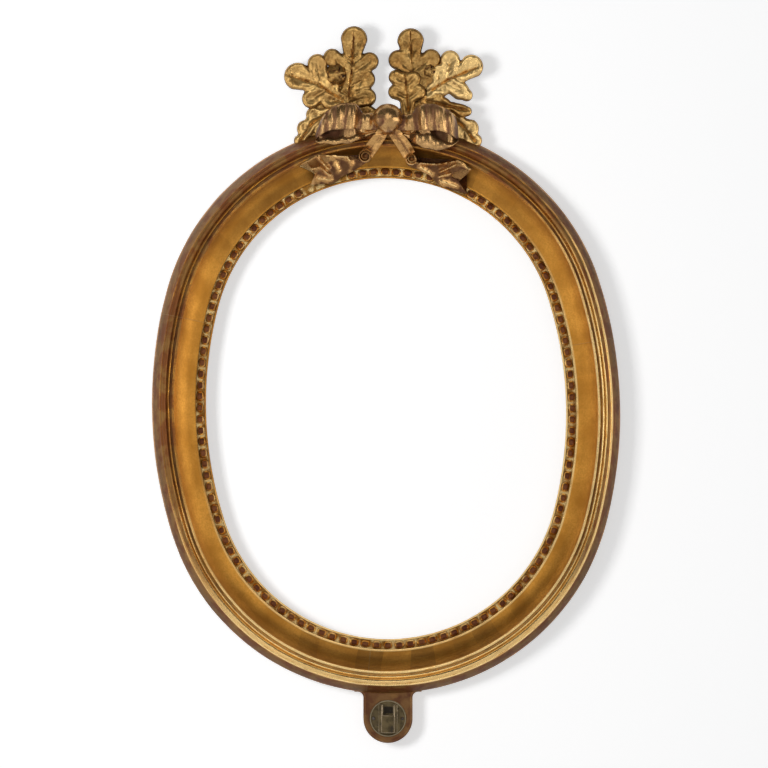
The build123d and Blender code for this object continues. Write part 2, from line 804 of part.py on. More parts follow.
# Sleeve of the socket: a bent strip with side flanges, its front cut down to open the mouth
sleeve_outside = sleeve_width + 2 * sleeve_wall
with BuildPart() as socket_sleeve:
    with BuildSketch(foot.offset(tongue_front)):
        with Locations((0, -tongue_drop)):
            Rectangle(sleeve_outside + 2 * sleeve_flange, sleeve_height)
    extrude(amount=sleeve_wall)
    with BuildSketch(foot.offset(tongue_front)):
        with Locations((0, -tongue_drop)):
            Rectangle(sleeve_outside, sleeve_height)
    extrude(amount=sleeve_depth + sleeve_wall)
    with BuildSketch(foot.offset(tongue_front)):
        with Locations((0, -tongue_drop + sleeve_wall)):
            Rectangle(sleeve_width, sleeve_height)
    extrude(amount=sleeve_depth, mode=Mode.SUBTRACT)
    with BuildSketch(foot.offset(tongue_front + sleeve_depth)):
        with Locations((0, -tongue_drop + sleeve_height / 2)):
            Rectangle(
                sleeve_width, sleeve_height - sleeve_front_height, align=(Align.CENTER, Align.MAX)
            )
    extrude(amount=sleeve_wall, mode=Mode.SUBTRACT)
write(socket_sleeve, "socket_sleeve")
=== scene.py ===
import math
import random

import bmesh
import bpy
import numpy as np
from mathutils import Matrix, Vector, noise


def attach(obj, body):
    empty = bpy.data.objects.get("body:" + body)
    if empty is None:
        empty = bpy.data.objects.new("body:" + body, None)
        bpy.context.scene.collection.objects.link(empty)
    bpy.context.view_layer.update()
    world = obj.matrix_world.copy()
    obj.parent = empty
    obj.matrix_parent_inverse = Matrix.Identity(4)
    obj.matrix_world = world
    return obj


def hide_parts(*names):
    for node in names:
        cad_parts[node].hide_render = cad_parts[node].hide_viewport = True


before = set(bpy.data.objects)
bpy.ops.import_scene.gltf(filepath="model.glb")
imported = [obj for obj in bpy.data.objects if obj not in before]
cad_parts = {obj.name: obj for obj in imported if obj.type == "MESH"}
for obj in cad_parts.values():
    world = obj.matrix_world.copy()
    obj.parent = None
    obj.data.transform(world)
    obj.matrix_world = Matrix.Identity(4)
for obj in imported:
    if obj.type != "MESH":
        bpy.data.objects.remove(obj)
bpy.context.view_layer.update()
scene = bpy.context.scene
scene.view_settings.view_transform = "Standard"

mm = 0.001  # the frame is in metres, and the sizes below are in millimetres


def at(x, height, z):  # height is measured from the back of the frame towards the viewer
    return Vector((x, -height, z)) * mm


# Shader maths


class Wire:  # a socket that takes part in sums
    def __init__(self, tree, socket):
        self.tree = tree
        self.socket = socket

    def work(self, operation, first, second):
        return addNode(self.tree, "ShaderNodeMath", {"operation": operation}, {0: first, 1: second})

    def __add__(self, other):
        return self.work("ADD", self, other)

    def __radd__(self, other):
        return self.work("ADD", other, self)

    def __sub__(self, other):
        return self.work("SUBTRACT", self, other)

    def __rsub__(self, other):
        return self.work("SUBTRACT", other, self)

    def __mul__(self, other):
        return self.work("MULTIPLY", self, other)

    def __rmul__(self, other):
        return self.work("MULTIPLY", other, self)

def addNode(tree, kind, settings, inputs, output=0):
    node = tree.nodes.new(kind)
    for key, value in settings.items():
        if key == "stops":  # a ramp's places and colours
            while len(node.color_ramp.elements) < len(value):
                node.color_ramp.elements.new(1)
            for element, (place, colour) in zip(node.color_ramp.elements, value):
                element.position = place
                element.color = colour if len(colour) == 4 else (*colour, 1)
        else:
            setattr(node, key, value)
    for key, value in inputs.items():
        if isinstance(value, Wire):
            tree.links.new(value.socket, node.inputs[key])
        else:
            node.inputs[key].default_value = value
    return Wire(tree, node.outputs[output])


class Finish:  # one material, and short names for the nodes that it uses
    def __init__(self, name):
        self.material = bpy.data.materials.new(name)
        self.material.use_nodes = True
        self.tree = self.material.node_tree
        self.shader = self.tree.nodes["Principled BSDF"]
        self.place = self.add("ShaderNodeTexCoord", {}, {}, "Object")

    def add(self, kind, settings, inputs, output=0):
        return addNode(self.tree, kind, settings, inputs, output)

    def grain(self, scale, detail=3.0, roughness=0.55):
        inputs = {"Vector": self.place, "Scale": scale, "Detail": detail, "Roughness": roughness}
        return self.add("ShaderNodeTexNoise", {}, inputs, "Fac")

    def step(self, value, low, high):
        inputs = {"Value": value, "From Min": low, "From Max": high}
        return self.add("ShaderNodeMapRange", {"interpolation_type": "SMOOTHSTEP"}, inputs, "Result")

    def mix(self, factor, first, second):
        def full(colour):
            return (*colour, 1) if isinstance(colour, tuple) else colour

        inputs = {0: factor, 6: full(first), 7: full(second)}
        return self.add("ShaderNodeMix", {"data_type": "RGBA"}, inputs, 2)

    def ramp(self, value, stops):
        return self.add("ShaderNodeValToRGB", {"stops": stops}, {"Fac": value}, "Color")

    def read(self, name):
        return self.add("ShaderNodeAttribute", {"attribute_name": name}, {}, "Fac")

    def bump(self, height, distance):
        inputs = {"Height": height, "Distance": distance * mm, "Strength": 1.0}
        return self.add("ShaderNodeBump", {}, inputs, "Normal")

    def feed(self, **values):
        for key, value in values.items():
            socket = self.shader.inputs[key.replace("_", " ")]
            if isinstance(value, Wire):
                self.tree.links.new(value.socket, socket)
            else:
                socket.default_value = (*value, 1) if isinstance(value, tuple) else value
        return self.material


# Gilding: leaf over red bole, rubbed through where it was handled


def gilding(name, look, wearOf, burnishOf=None, reliefOf=None, toneOf=None, paintedHighlightOf=None):
    finish = Finish(name)
    patches = finish.grain(look["patchScale"], 4.0)
    specks = finish.grain(look["speckScale"], 3.0, roughness=0.7)
    rub = wearOf(finish) + (patches - 0.5) * look["patch"] + (specks - 0.5) * look["speck"]
    rubbed = finish.step(rub, 0.38, 0.68)
    cloud = finish.step(finish.grain(look["cloudScale"], 5.0), 0.32, 0.7)
    leaf = finish.mix(cloud, look["leaf"], look["deep"])
    leaf = finish.mix(finish.step(specks, 0.4, 0.64) * look["mottle"], leaf, look["deep"])
    under = finish.mix(finish.step(finish.grain(75, 4.0), 0.42, 0.58), look["bole"], look["ground"])
    colour = finish.mix(rubbed, leaf, under)
    # painted shade, with dirt, mixed into the colour
    if toneOf:
        colour = finish.mix(toneOf(finish), colour, look["dirtAndShade"])
    # painted highlights, mixed into the colour in a pale tone
    if paintedHighlightOf:
        colour = finish.mix(paintedHighlightOf(finish), colour, look["highlightColour"])
    rough = look["rough"] + rubbed * 0.14 + (specks - 0.5) * 0.2
    if burnishOf:
        rough = rough - burnishOf(finish) * look["burnish"]
    relief = specks * 0.5 + finish.grain(190, 2.0) * 0.8 - rubbed * 0.25
    if reliefOf:
        relief = relief + reliefOf(finish)
    return finish.feed(
        Base_Color=colour,
        Metallic=look["metal"] - rubbed * look["dulling"],
        Roughness=rough,
        Normal=finish.bump(relief, look["bump"]),
        Specular_IOR_Level=0.1,
    )


gilt = {
    "leaf": (0.72, 0.335, 0.056), "deep": (0.48, 0.2, 0.027), "highlightColour": (1.0, 0.75, 0.34),
    "bole": (0.25, 0.085, 0.024), "ground": (0.33, 0.16, 0.044), "dirtAndShade": (0.05, 0.022, 0.008),
    "patch": 0.5, "patchScale": 26, "speck": 0.55, "speckScale": 620, "cloudScale": 40, "mottle": 0.5,
    "rough": 0.5, "burnish": 0.27, "metal": 0.88, "dulling": 0.5, "bump": 0.15,
}

# The oval and the moulding's section

oval = {
    "sightWidth": 317.0,
    "sightHeight": 406.0,
    "endTightening": 7.5,
    "lean": 1.6,
    "mouldingWidth": 47.7,
    "hangerDrop": 19.0,
    "meanReach": 205.0,
    "railJoints": {
        "upper_right": (8.5, 90), "upper_left": (90, 166.5),
        "lower_left": (166.5, 263), "lower_right": (263, 368.5),
    },
}
halfWidth = oval["sightWidth"] / 2 + oval["mouldingWidth"]
halfHeight = oval["sightHeight"] / 2 + oval["mouldingWidth"]
endRadius = halfWidth - oval["endTightening"]
endCentre = halfHeight - endRadius
sideRadius = (halfWidth**2 - endRadius**2 + endCentre**2) / (2 * oval["endTightening"])
sideCentre = sideRadius - halfWidth
joinAngle = math.degrees(math.atan2(endCentre, sideCentre))
ovalTop = endCentre * math.cos(math.radians(oval["lean"])) + endRadius
ovalMiddle = oval["hangerDrop"] - ovalTop  # height of the oval's centre
crestLevel = oval["hangerDrop"]  # height of the oval's top, where the crest stands


def arcsBetween(start, end):  # centre x, centre z, radius, first and last direction of each arc
    turn = math.radians(oval["lean"])
    found = []
    for lap in (0, 360):
        for x, z, radius, middle, half in (
            (-sideCentre, 0, sideRadius, 0, joinAngle),
            (0, endCentre, endRadius, 90, 90 - joinAngle),
            (sideCentre, 0, sideRadius, 180, joinAngle),
            (0, -endCentre, endRadius, 270, 90 - joinAngle),
        ):
            first = max(lap + middle - half, start)
            last = min(lap + middle + half, end)
            if last - first > 0.001:
                centreX = x * math.cos(turn) - z * math.sin(turn)
                centreZ = x * math.sin(turn) + z * math.cos(turn) + ovalMiddle
                found.append((centreX, centreZ, radius, first + oval["lean"], last + oval["lean"]))
    return found


def arcPoints(start, end, bulge, count):  # points between two ends of an arc, the ends left out
    (x0, y0), (x1, y1) = start, end
    length = math.hypot(x1 - x0, y1 - y0)
    points = []
    for index in range(1, count):
        t = index / count
        rise = bulge * 4 * t * (1 - t)
        x, y = x0 + (x1 - x0) * t, y0 + (y1 - y0) * t
        points.append((x - (y1 - y0) / length * rise, y + (x1 - x0) / length * rise))
    return points


def softened(points, radius, sharpest=25):  # an open line whose sharp corners are rounded off
    result = [points[0]]
    for before, corner, after in zip(points, points[1:], points[2:]):
        to = Vector(corner) - Vector(before)
        onward = Vector(after) - Vector(corner)
        if math.degrees(to.angle(onward)) < sharpest:
            result.append(corner)
            continue
        reach = min(radius, to.length * 0.45, onward.length * 0.45)
        first = Vector(corner) - to.normalized() * reach
        last = Vector(corner) + onward.normalized() * reach
        middle = (first + last + 2 * Vector(corner)) / 4
        result += [tuple(first), tuple(middle), tuple(last)]
    return result + [points[-1]]


section = {
    "backLayer": 12.0, "sightTop": 15.5, "channel": (1.6, 9.0), "channelFloor": 14.3, "innerTop": 17.7,
    "cove": (10.8, 28.0), "coveTop": 31.7, "coveHollow": 3.2, "quirk": (29.8, 31.6), "quirkFloor": 29.9,
    "bead": (31.6, 33.6), "beadRise": 1.0, "beadDrops": (0.4, 0.2), "groove": 34.5, "grooveFloor": 30.9,
    "torus": (34.5, 39.3), "torusRise": 2.1, "torusDrop": 0.3, "arris": 40.3, "sideFoot": 14.0,
    "edgeRadius": 0.45,
}


def mouldingFront():  # the gilded line of the section, from the sight edge to the outer foot
    s = section
    back, sight, floor = s["backLayer"], s["sightTop"], s["channelFloor"]
    inner, top = s["innerTop"], s["coveTop"]
    (channelIn, channelOut), (coveIn, coveOut), (quirkIn, quirkOut) = s["channel"], s["cove"], s["quirk"]
    beadIn, beadOut = [(u, top - drop) for u, drop in zip(s["bead"], s["beadDrops"])]
    torusIn, torusOut = s["torus"]
    outside = oval["mouldingWidth"]
    line = [(0, back), (0, sight), (channelIn, sight), (channelIn, floor)]
    line += [(channelOut, floor), (channelOut, inner), (coveIn, inner)]
    line += arcPoints((coveIn, inner), (coveOut, top), -s["coveHollow"], 12)
    line += [(coveOut, top), (quirkIn, top), (quirkIn, s["quirkFloor"]), (quirkOut, s["quirkFloor"]),
        beadIn]
    line += arcPoints(beadIn, beadOut, s["beadRise"], 6)
    line += [beadOut, ((beadOut[0] + s["groove"]) / 2, s["grooveFloor"]), (torusIn, top)]
    line += arcPoints((torusIn, top), (torusOut, top), s["torusRise"], 8)
    line += [(torusOut, top - s["torusDrop"]), (s["arris"], top), (outside, s["sideFoot"]), (outside, back)]
    return softened(line, s["edgeRadius"])


frontLine = mouldingFront()
frontWidths = [u for u, _ in frontLine]
frontHeights = [h for _, h in frontLine]


def mouldingHeight(x, z):  # height of the moulding at a place beside the crest
    centreX, centreZ, radius, _, _ = arcsBetween(89, 91)[0]
    across = math.hypot(x - centreX, z - centreZ) - radius + oval["mouldingWidth"]
    return float(np.interp(across, frontWidths, frontHeights))


# Modelling in edit mode

mergeGap = 0.001 * mm


def unit(value):  # held between 0 and 1
    return min(max(value, 0.0), 1.0)


def start(name, add, **settings):  # a primitive by itself, open in edit mode
    if bpy.context.mode != "OBJECT":
        bpy.ops.object.mode_set(mode="OBJECT")
    bpy.ops.object.select_all(action="DESELECT")
    add(**settings)
    piece = bpy.context.object
    piece.name = name
    piece.data.name = name
    bpy.ops.object.mode_set(mode="EDIT")
    return piece


def editing(piece):
    mesh = bmesh.from_edit_mesh(piece.data)
    mesh.verts.ensure_lookup_table()
    mesh.faces.ensure_lookup_table()
    return mesh


def closeUp(piece):  # merge doubles, point the faces outwards and leave edit mode
    bpy.ops.mesh.select_all(action="SELECT")
    bpy.ops.mesh.remove_doubles(threshold=mergeGap)
    bpy.ops.mesh.normals_make_consistent(inside=False)
    bpy.ops.object.mode_set(mode="OBJECT")


def only(*pieces):
    bpy.ops.object.select_all(action="DESELECT")
    for piece in pieces:
        piece.select_set(True)
    bpy.context.view_layer.objects.active = pieces[0]


def finishWith(piece, kind, **settings):  # a modifier, applied
    only(piece)
    bpy.ops.object.modifier_add(type=kind)
    modifier = piece.modifiers[-1]
    for key, value in settings.items():
        setattr(modifier, key, value)
    bpy.ops.object.modifier_apply(modifier=modifier.name)


def smooth(piece, angle):
    only(piece)
    bpy.ops.object.shade_smooth_by_angle(angle=math.radians(angle))


def joined(name, pieces):
    only(*pieces)
    if len(pieces) > 1:
        bpy.ops.object.join()
    pieces[0].name = name
    pieces[0].data.name = name
    return pieces[0]


def dress(piece, *materials):
    piece.data.materials.clear()
    for material in materials:
        piece.data.materials.append(material)


def mount(piece, node, rides="frame"):  # the piece stands for this node
    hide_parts(node)
    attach(piece, rides)
    print("made", piece.name, len(piece.data.polygons), "faces")


def complete(piece, angle, material, node):
    smooth(piece, angle)
    dress(piece, material)
    mount(piece, node)


def spun(name, line, first, last, step, marks=None):  # a closed section carried round the oval
    circleAdd = bpy.ops.mesh.primitive_circle_add
    piece = start(name, circleAdd, vertices=len(line), radius=mm, fill_type="NOTHING")
    arcs = arcsBetween(first, last)
    centreX, centreZ, radius, begin, _ = arcs[0]
    across = math.radians(begin)
    shape = editing(piece)
    layer = shape.verts.layers.float.new("across")
    for index, (vertex, (u, height)) in enumerate(zip(shape.verts, line)):
        reach = radius - oval["mouldingWidth"] + u
        vertex.co = at(centreX + reach * math.cos(across), height, centreZ + reach * math.sin(across))
        vertex[layer] = marks[index] if marks else u
    bmesh.update_edit_mesh(piece.data)
    for centreX, centreZ, radius, begin, end in arcs:
        steps = max(2, round(math.radians(end - begin) * radius / step))
        turn = math.radians(end - begin)
        bpy.ops.mesh.spin(steps=steps, angle=turn, center=at(centreX, 0, centreZ), axis=(0, 1, 0))
    bpy.ops.mesh.select_all(action="SELECT")
    bpy.ops.mesh.fill_holes(sides=len(line))
    return piece


# Rails

railWork = {"step": 2.6, "unevenness": 0.35, "waves": 26.0}
handwork = bpy.data.textures.new("handwork", "CLOUDS")
handwork.noise_scale = railWork["waves"] * mm
railMarks = []
for u, height in frontLine:
    if u == 0:
        railMarks.append(height - section["sightTop"])
    elif u == oval["mouldingWidth"]:
        railMarks.append(u + section["sideFoot"] - height)
    else:
        railMarks.append(u)
# how far the leaf is rubbed through, from the sight edge to the outer foot:
# on the sheltered side, on the handled side and below
railWear = [
    (-3.5, 0.5, 0.6, 0.5), (0, 0.3, 0.5, 0.1), (0.8, 0.05, 0.4, 0), (1.7, 0.7, 0.8, 0.5),
    (8.8, 0.7, 0.8, 0.5), (9.4, 0.05, 0.35, 0), (10.6, 0.05, 0.3, 0.05), (12, 0.14, 0.14, 0.14),
    (24, 0.18, 0.16, 0.2), (27.2, 0.22, 0.36, 0.1), (28.2, 0, 0.58, 0), (29.4, 0, 0.62, 0),
    (30.1, 0.55, 0.7, 0.3), (31.4, 0.55, 0.7, 0.3), (32, 0, 0.54, 0), (33.2, 0, 0.5, 0),
    (34, 0.45, 0.7, 0.35), (34.6, 0, 0.64, 0.1), (35.7, 0, 0.66, 0.15), (36.3, 0.85, 0.75, 0.3),
    (38.6, 0.85, 0.75, 0.35), (39.3, 0.05, 0.68, 0.1), (40.5, 0.05, 0.62, 0.05),
    (41.2, 0.7, 0.72, 0.75), (46, 0.72, 0.7, 0.8), (47.5, 0.5, 0.25, 0.6), (49.7, 0.4, 0.15, 0.5),
]
railBurnish = [
    (0, 0.2), (9, 0.2), (9.6, 1), (11, 0.2), (24, 0.1), (27.5, 0.3), (28.4, 1), (29.8, 0.8), (31.6, 0.6),
    (32.4, 1), (39, 0.9), (40.2, 1), (42, 0.2),
]
# dirt and painted shade in the hollows, and where the cove gets painted shade at the top and below
railShadeAndDirt = [
    (0, 0.2, 0), (1.2, 0.1, 0), (1.8, 0.75, 0), (8.6, 0.75, 0), (9.4, 0.1, 0), (11, 0.1, 0.8),
    (12, 0, 1), (17, 0, 1), (21, 0, 0.6), (26.5, 0, 0.75), (27.6, 0, 0), (29.6, 0, 0), (30, 0.5, 0),
    (31.2, 0.5, 0), (31.6, 0, 0), (33.4, 0.1, 0), (34, 0.5, 0), (34.4, 0.1, 0), (39.2, 0.15, 0),
    (39.6, 0, 0), (42, 0.1, 0), (45, 0.3, 0),
]
# painted highlight lines on the burnished edges: at the side and below
railHighlights = [
    (-1, 0, 0), (0, 0.7, 0.6), (0.8, 0.95, 0.8), (1.4, 0.7, 0.6), (1.7, 0, 0), (8.9, 0, 0),
    (9.3, 0.75, 0.6), (10.4, 0.6, 0.4), (11.2, 0, 0), (27.4, 0, 0), (28.1, 0.8, 0.75), (29.5, 0.8, 0.8),
    (29.9, 0, 0.1), (31.5, 0, 0.1), (31.9, 0.9, 0.8), (33.2, 0.8, 0.8), (33.8, 0.1, 0.2),
    (34.4, 0.5, 0.6), (34.8, 0.9, 0.8), (35.7, 0.8, 0.75), (36.3, 0, 0.65), (38.6, 0, 0.55),
    (39.2, 0.7, 0.8), (40.4, 0.95, 0.9), (40.9, 0, 0),
]
leafStrips = {"width": 19.0, "tone": 0.16}
jointLook = {"width": 0.3, "reach": 60.0, "dirtAndShade": 0.1, "highlight": 0.12}
railAge = {"slant": 0.8, "patches": 160, "handled": (-110, 90), "below": (-100, -190)}
# painted shade on the cove: at the top, more to the left, and at the foot
paintedCoveShade = {"top": (90, 200), "topTone": 0.46, "leftward": 0.0006, "foot": (-130, -225), "footTone": 0.52}


def acrossRamp(finish, table, column=1):  # a value that changes across the moulding, read from a table
    low, high = -4.0, 50.0
    place = (finish.read("across") - low) * (1 / (high - low))
    return finish.ramp(place, [((row[0] - low) / (high - low), (row[column],) * 3) for row in table])


def axes(finish):  # sideways and upright distance from the middle of the oval, in millimetres
    x = finish.add("ShaderNodeSeparateXYZ", {}, {0: finish.place}, "X") * (1 / mm)
    z = finish.add("ShaderNodeSeparateXYZ", {}, {0: finish.place}, "Z") * (1 / mm) - ovalMiddle
    return x, z


def roundOval(finish):  # distance travelled round the oval, roughly
    x, z = axes(finish)
    return finish.add("ShaderNodeMath", {"operation": "ARCTAN2"}, {0: z, 1: x}) * oval["meanReach"]


def alongRail(finish, long, wide):  # noise drawn out along the moulding
    place = {"X": roundOval(finish) * (1 / long), "Y": finish.read("across") * (1 / wide)}
    spread = finish.add("ShaderNodeCombineXYZ", {}, place)
    inputs = {"Vector": spread, "Scale": 1.0, "Detail": 3.0, "Roughness": 0.6}
    return finish.add("ShaderNodeTexNoise", {}, inputs, "Fac")


def handled(finish):  # 1 at the upper left, where hands have worn the mouldings, and 0 at the lower right
    x, z = axes(finish)
    patches = (finish.grain(14, 2.0) - 0.5) * railAge["patches"]
    return finish.step(z - x * railAge["slant"] + patches, *railAge["handled"])


def below(finish):  # 1 at the bottom of the oval
    return finish.step(axes(finish)[1], *railAge["below"])


def railRub(finish):
    worn = finish.mix(handled(finish), acrossRamp(finish, railWear, 1), acrossRamp(finish, railWear, 2))
    worn = finish.mix(below(finish), worn, acrossRamp(finish, railWear, 3))
    return worn + (alongRail(finish, 34, 1.0) - 0.5) * 0.5


def jointLines(finish, directions):  # 1 on the hairlines where the lengths meet
    x, z = axes(finish)
    width, reach = jointLook["width"], jointLook["reach"]
    lines = None
    for direction in directions:
        centreX, centreZ, radius, first, _ = arcsBetween(direction, direction + 1)[0]
        sine, cosine = math.sin(math.radians(first)), math.cos(math.radians(first))
        dx, dz = x - centreX, z + ovalMiddle - centreZ
        off = finish.add("ShaderNodeMath", {"operation": "ABSOLUTE"}, {0: dx * sine - dz * cosine})
        ahead = finish.step(dx * cosine + dz * sine, radius - reach, radius - reach + 1)
        line = (1 - finish.step(off, width * 0.5, width * 1.5)) * ahead
        lines = line if lines is None else lines + line
    return lines


def railJoint(finish):
    return jointLines(finish, (oval["railJoints"]["upper_right"][0], *oval["railJoints"]["lower_left"]))


def railTone(finish):  # dirt and painted shade in the hollows, dirt in the joints, painted shade on the cove at the top and below, and leaf strips of slightly different age
    strip = roundOval(finish) * (1 / leafStrips["width"]) + (finish.grain(9, 1.0) - 0.5) * 1.4
    number = finish.add("ShaderNodeMath", {"operation": "FLOOR"}, {0: strip})
    age = finish.add("ShaderNodeTexWhiteNoise", {"noise_dimensions": "1D"}, {"W": number}, "Value")
    dirtAndShade = acrossRamp(finish, railShadeAndDirt) * (0.5 + finish.grain(120, 3.0))
    x, z = axes(finish)
    coveShade = finish.step(z, *paintedCoveShade["top"]) * (paintedCoveShade["topTone"] - x * paintedCoveShade["leftward"])
    coveShade = coveShade + finish.step(z, *paintedCoveShade["foot"]) * paintedCoveShade["footTone"]
    tone = dirtAndShade + railJoint(finish) * jointLook["dirtAndShade"] + age * leafStrips["tone"]
    return finish.step(tone + acrossRamp(finish, railShadeAndDirt, 2) * coveShade, 0.0, 1.0)


def paintedRailHighlight(finish):  # painted highlight, strongest on the sheltered side and broken by wear, and faint on the joints
    lines = finish.mix(below(finish), acrossRamp(finish, railHighlights, 1), acrossRamp(finish, railHighlights, 2))
    broken = finish.step(alongRail(finish, 14, 1.2), 0.24, 0.5)
    return lines * (1 - handled(finish)) * broken + railJoint(finish) * jointLook["highlight"]


gildedMoulding = gilding(
    "gildedMoulding",
    gilt,
    railRub,
    lambda finish: acrossRamp(finish, railBurnish),
    lambda finish: alongRail(finish, 30, 0.8) * 0.8 - railJoint(finish),
    railTone,
    paintedRailHighlight,
)
for side, (first, last) in oval["railJoints"].items():
    rail = spun(f"railCarved.{side}", frontLine, first, last, railWork["step"], railMarks)
    closeUp(rail)
    uneven = {"texture": handwork, "texture_coords": "LOCAL", "strength": railWork["unevenness"] * mm}
    finishWith(rail, "DISPLACE", **uneven)
    complete(rail, 35, gildedMoulding, f"rail_{side}")

# Pearls

pearl = {
    "pitch": 10.0, "halfWidth": 3.6, "halfLength": 4.4, "height": 4.0, "square": 3.4, "flatness": 2.8,
    "foot": 1.05, "bed": 0.7, "play": 0.1, "sunk": 0.3, "unevenness": 0.3,
    "covers": ((101, 114), (60.5, 73.5)),
}
pearlGilt = {
    **gilt, "bole": (0.12, 0.036, 0.015), "ground": (0.2, 0.07, 0.025), "rough": 0.34,
    "patchScale": 210, "patch": 0.5, "burnish": 0.1,
}


def pearlRub(finish):  # rubbed through on the crown
    rise = finish.read("rise")
    return 0.3 - finish.step(rise, 0.0, 0.2) * 0.25 + finish.step(rise, 0.66, 0.88) * 0.8


def paintedPearlHighlight(finish):  # painted highlight on the flanks
    rise = finish.read("rise")
    flank = (0.5 + finish.step(rise, 0.0, 0.15) * 0.5) * (1 - finish.step(rise, 0.58, 0.82))
    return finish.step(finish.grain(125, 3.0), 0.42, 0.6) * flank


gildedPearls = gilding(
    "gildedPearls",
    pearlGilt,
    pearlRub,
    lambda finish: 1 - finish.read("rise"),
    # darker at the pearls' feet and on the bed between them: painted shade and dirt
    toneOf=lambda finish: (1 - finish.step(finish.read("rise"), 0.0, 0.12)) * 0.62,
    paintedHighlightOf=paintedPearlHighlight,
)


def pearlPlaces(first, last):  # arc and direction of each pearl, clear of the ribbon tails
    inset = oval["mouldingWidth"] - sum(section["channel"]) / 2
    arcs = arcsBetween(first, last)
    lengths = [math.radians(end - begin) * (radius - inset) for _, _, radius, begin, end in arcs]
    count = round(sum(lengths) / pearl["pitch"])
    for index in range(count):
        travel = (index + 0.5) * sum(lengths) / count
        for (centreX, centreZ, radius, begin, end), length in zip(arcs, lengths):
            if travel <= length:
                break
            travel -= length
        angle = begin + (end - begin) * travel / length
        if not any(low < angle - oval["lean"] < high for low, high in pearl["covers"]):
            yield centreX, centreZ, radius - inset, math.radians(angle)


def carvedPearl():  # one pearl, a squarish cushion standing on the origin
    piece = start("pearl", bpy.ops.mesh.primitive_uv_sphere_add, segments=20, ring_count=14, radius=1)
    shape = editing(piece)
    layer = shape.verts.layers.float.new("rise")
    for vertex in shape.verts:
        x, y, level = vertex.co
        away = math.hypot(x, y)
        power = pearl["square"]
        spread = away / max((abs(x) ** power + abs(y) ** power) ** (1 / power), 1e-6)
        vertex[layer] = max(0.0, level)
        rise = 1 - away ** pearl["flatness"] if level > 0 else 0.0
        if level <= 0:  # the foot spreads into the bed
            spread *= pearl["foot"]
        wide, long = x * spread * pearl["halfWidth"], y * spread * pearl["halfLength"]
        vertex.co = Vector((wide, long, rise * pearl["height"])) * mm
    closeUp(piece)
    return piece


def pearlLength(side, first, last):
    chance = random.Random(side)
    left, right = section["channel"][0] + pearl["play"], section["channel"][1] - pearl["play"]
    floor = section["channelFloor"]
    top = floor + pearl["bed"]
    bedLine = [(left, floor), (left, top), (right, top), (right, floor)]
    bed = spun(f"pearlsCarved.{side}", bedLine, first, last, 3.0)
    closeUp(bed)
    master = carvedPearl()
    pieces = [bed]
    for centreX, centreZ, reach, angle in pearlPlaces(first, last):
        copy = master.copy()
        copy.data = master.data.copy()
        scene.collection.objects.link(copy)
        wide, long, tall = (chance.uniform(0.93, 1.04) for _ in range(3))
        turn = chance.uniform(0, 6.28)
        shift = chance.uniform(-0.25, 0.25)
        own = Vector((turn * 9, reach, angle * 40))  # no two pearls are alike
        for vertex in copy.data.vertices:
            x, y, z = vertex.co / mm
            rough = pearl["unevenness"] * noise.noise(Vector((x, y, z)) * 0.35 + own)
            across = (x + rough) * wide
            along = (y + rough) * long + shift
            height = top - pearl["sunk"] + z * tall * (1 + rough * 0.2)
            away = reach + across
            vertex.co = at(
                centreX + away * math.cos(angle) - along * math.sin(angle),
                height,
                centreZ + away * math.sin(angle) + along * math.cos(angle),
            )
        pieces.append(copy)
    bpy.data.objects.remove(master)
    length = joined(f"pearlsCarved.{side}", pieces)
    complete(length, 60, gildedPearls, f"pearls_{side}")


for side, (first, last) in oval["railJoints"].items():
    pearlLength(side, first, last)

# Oak leaves of the crest; places are measured from the oval's top, x to the right and z up

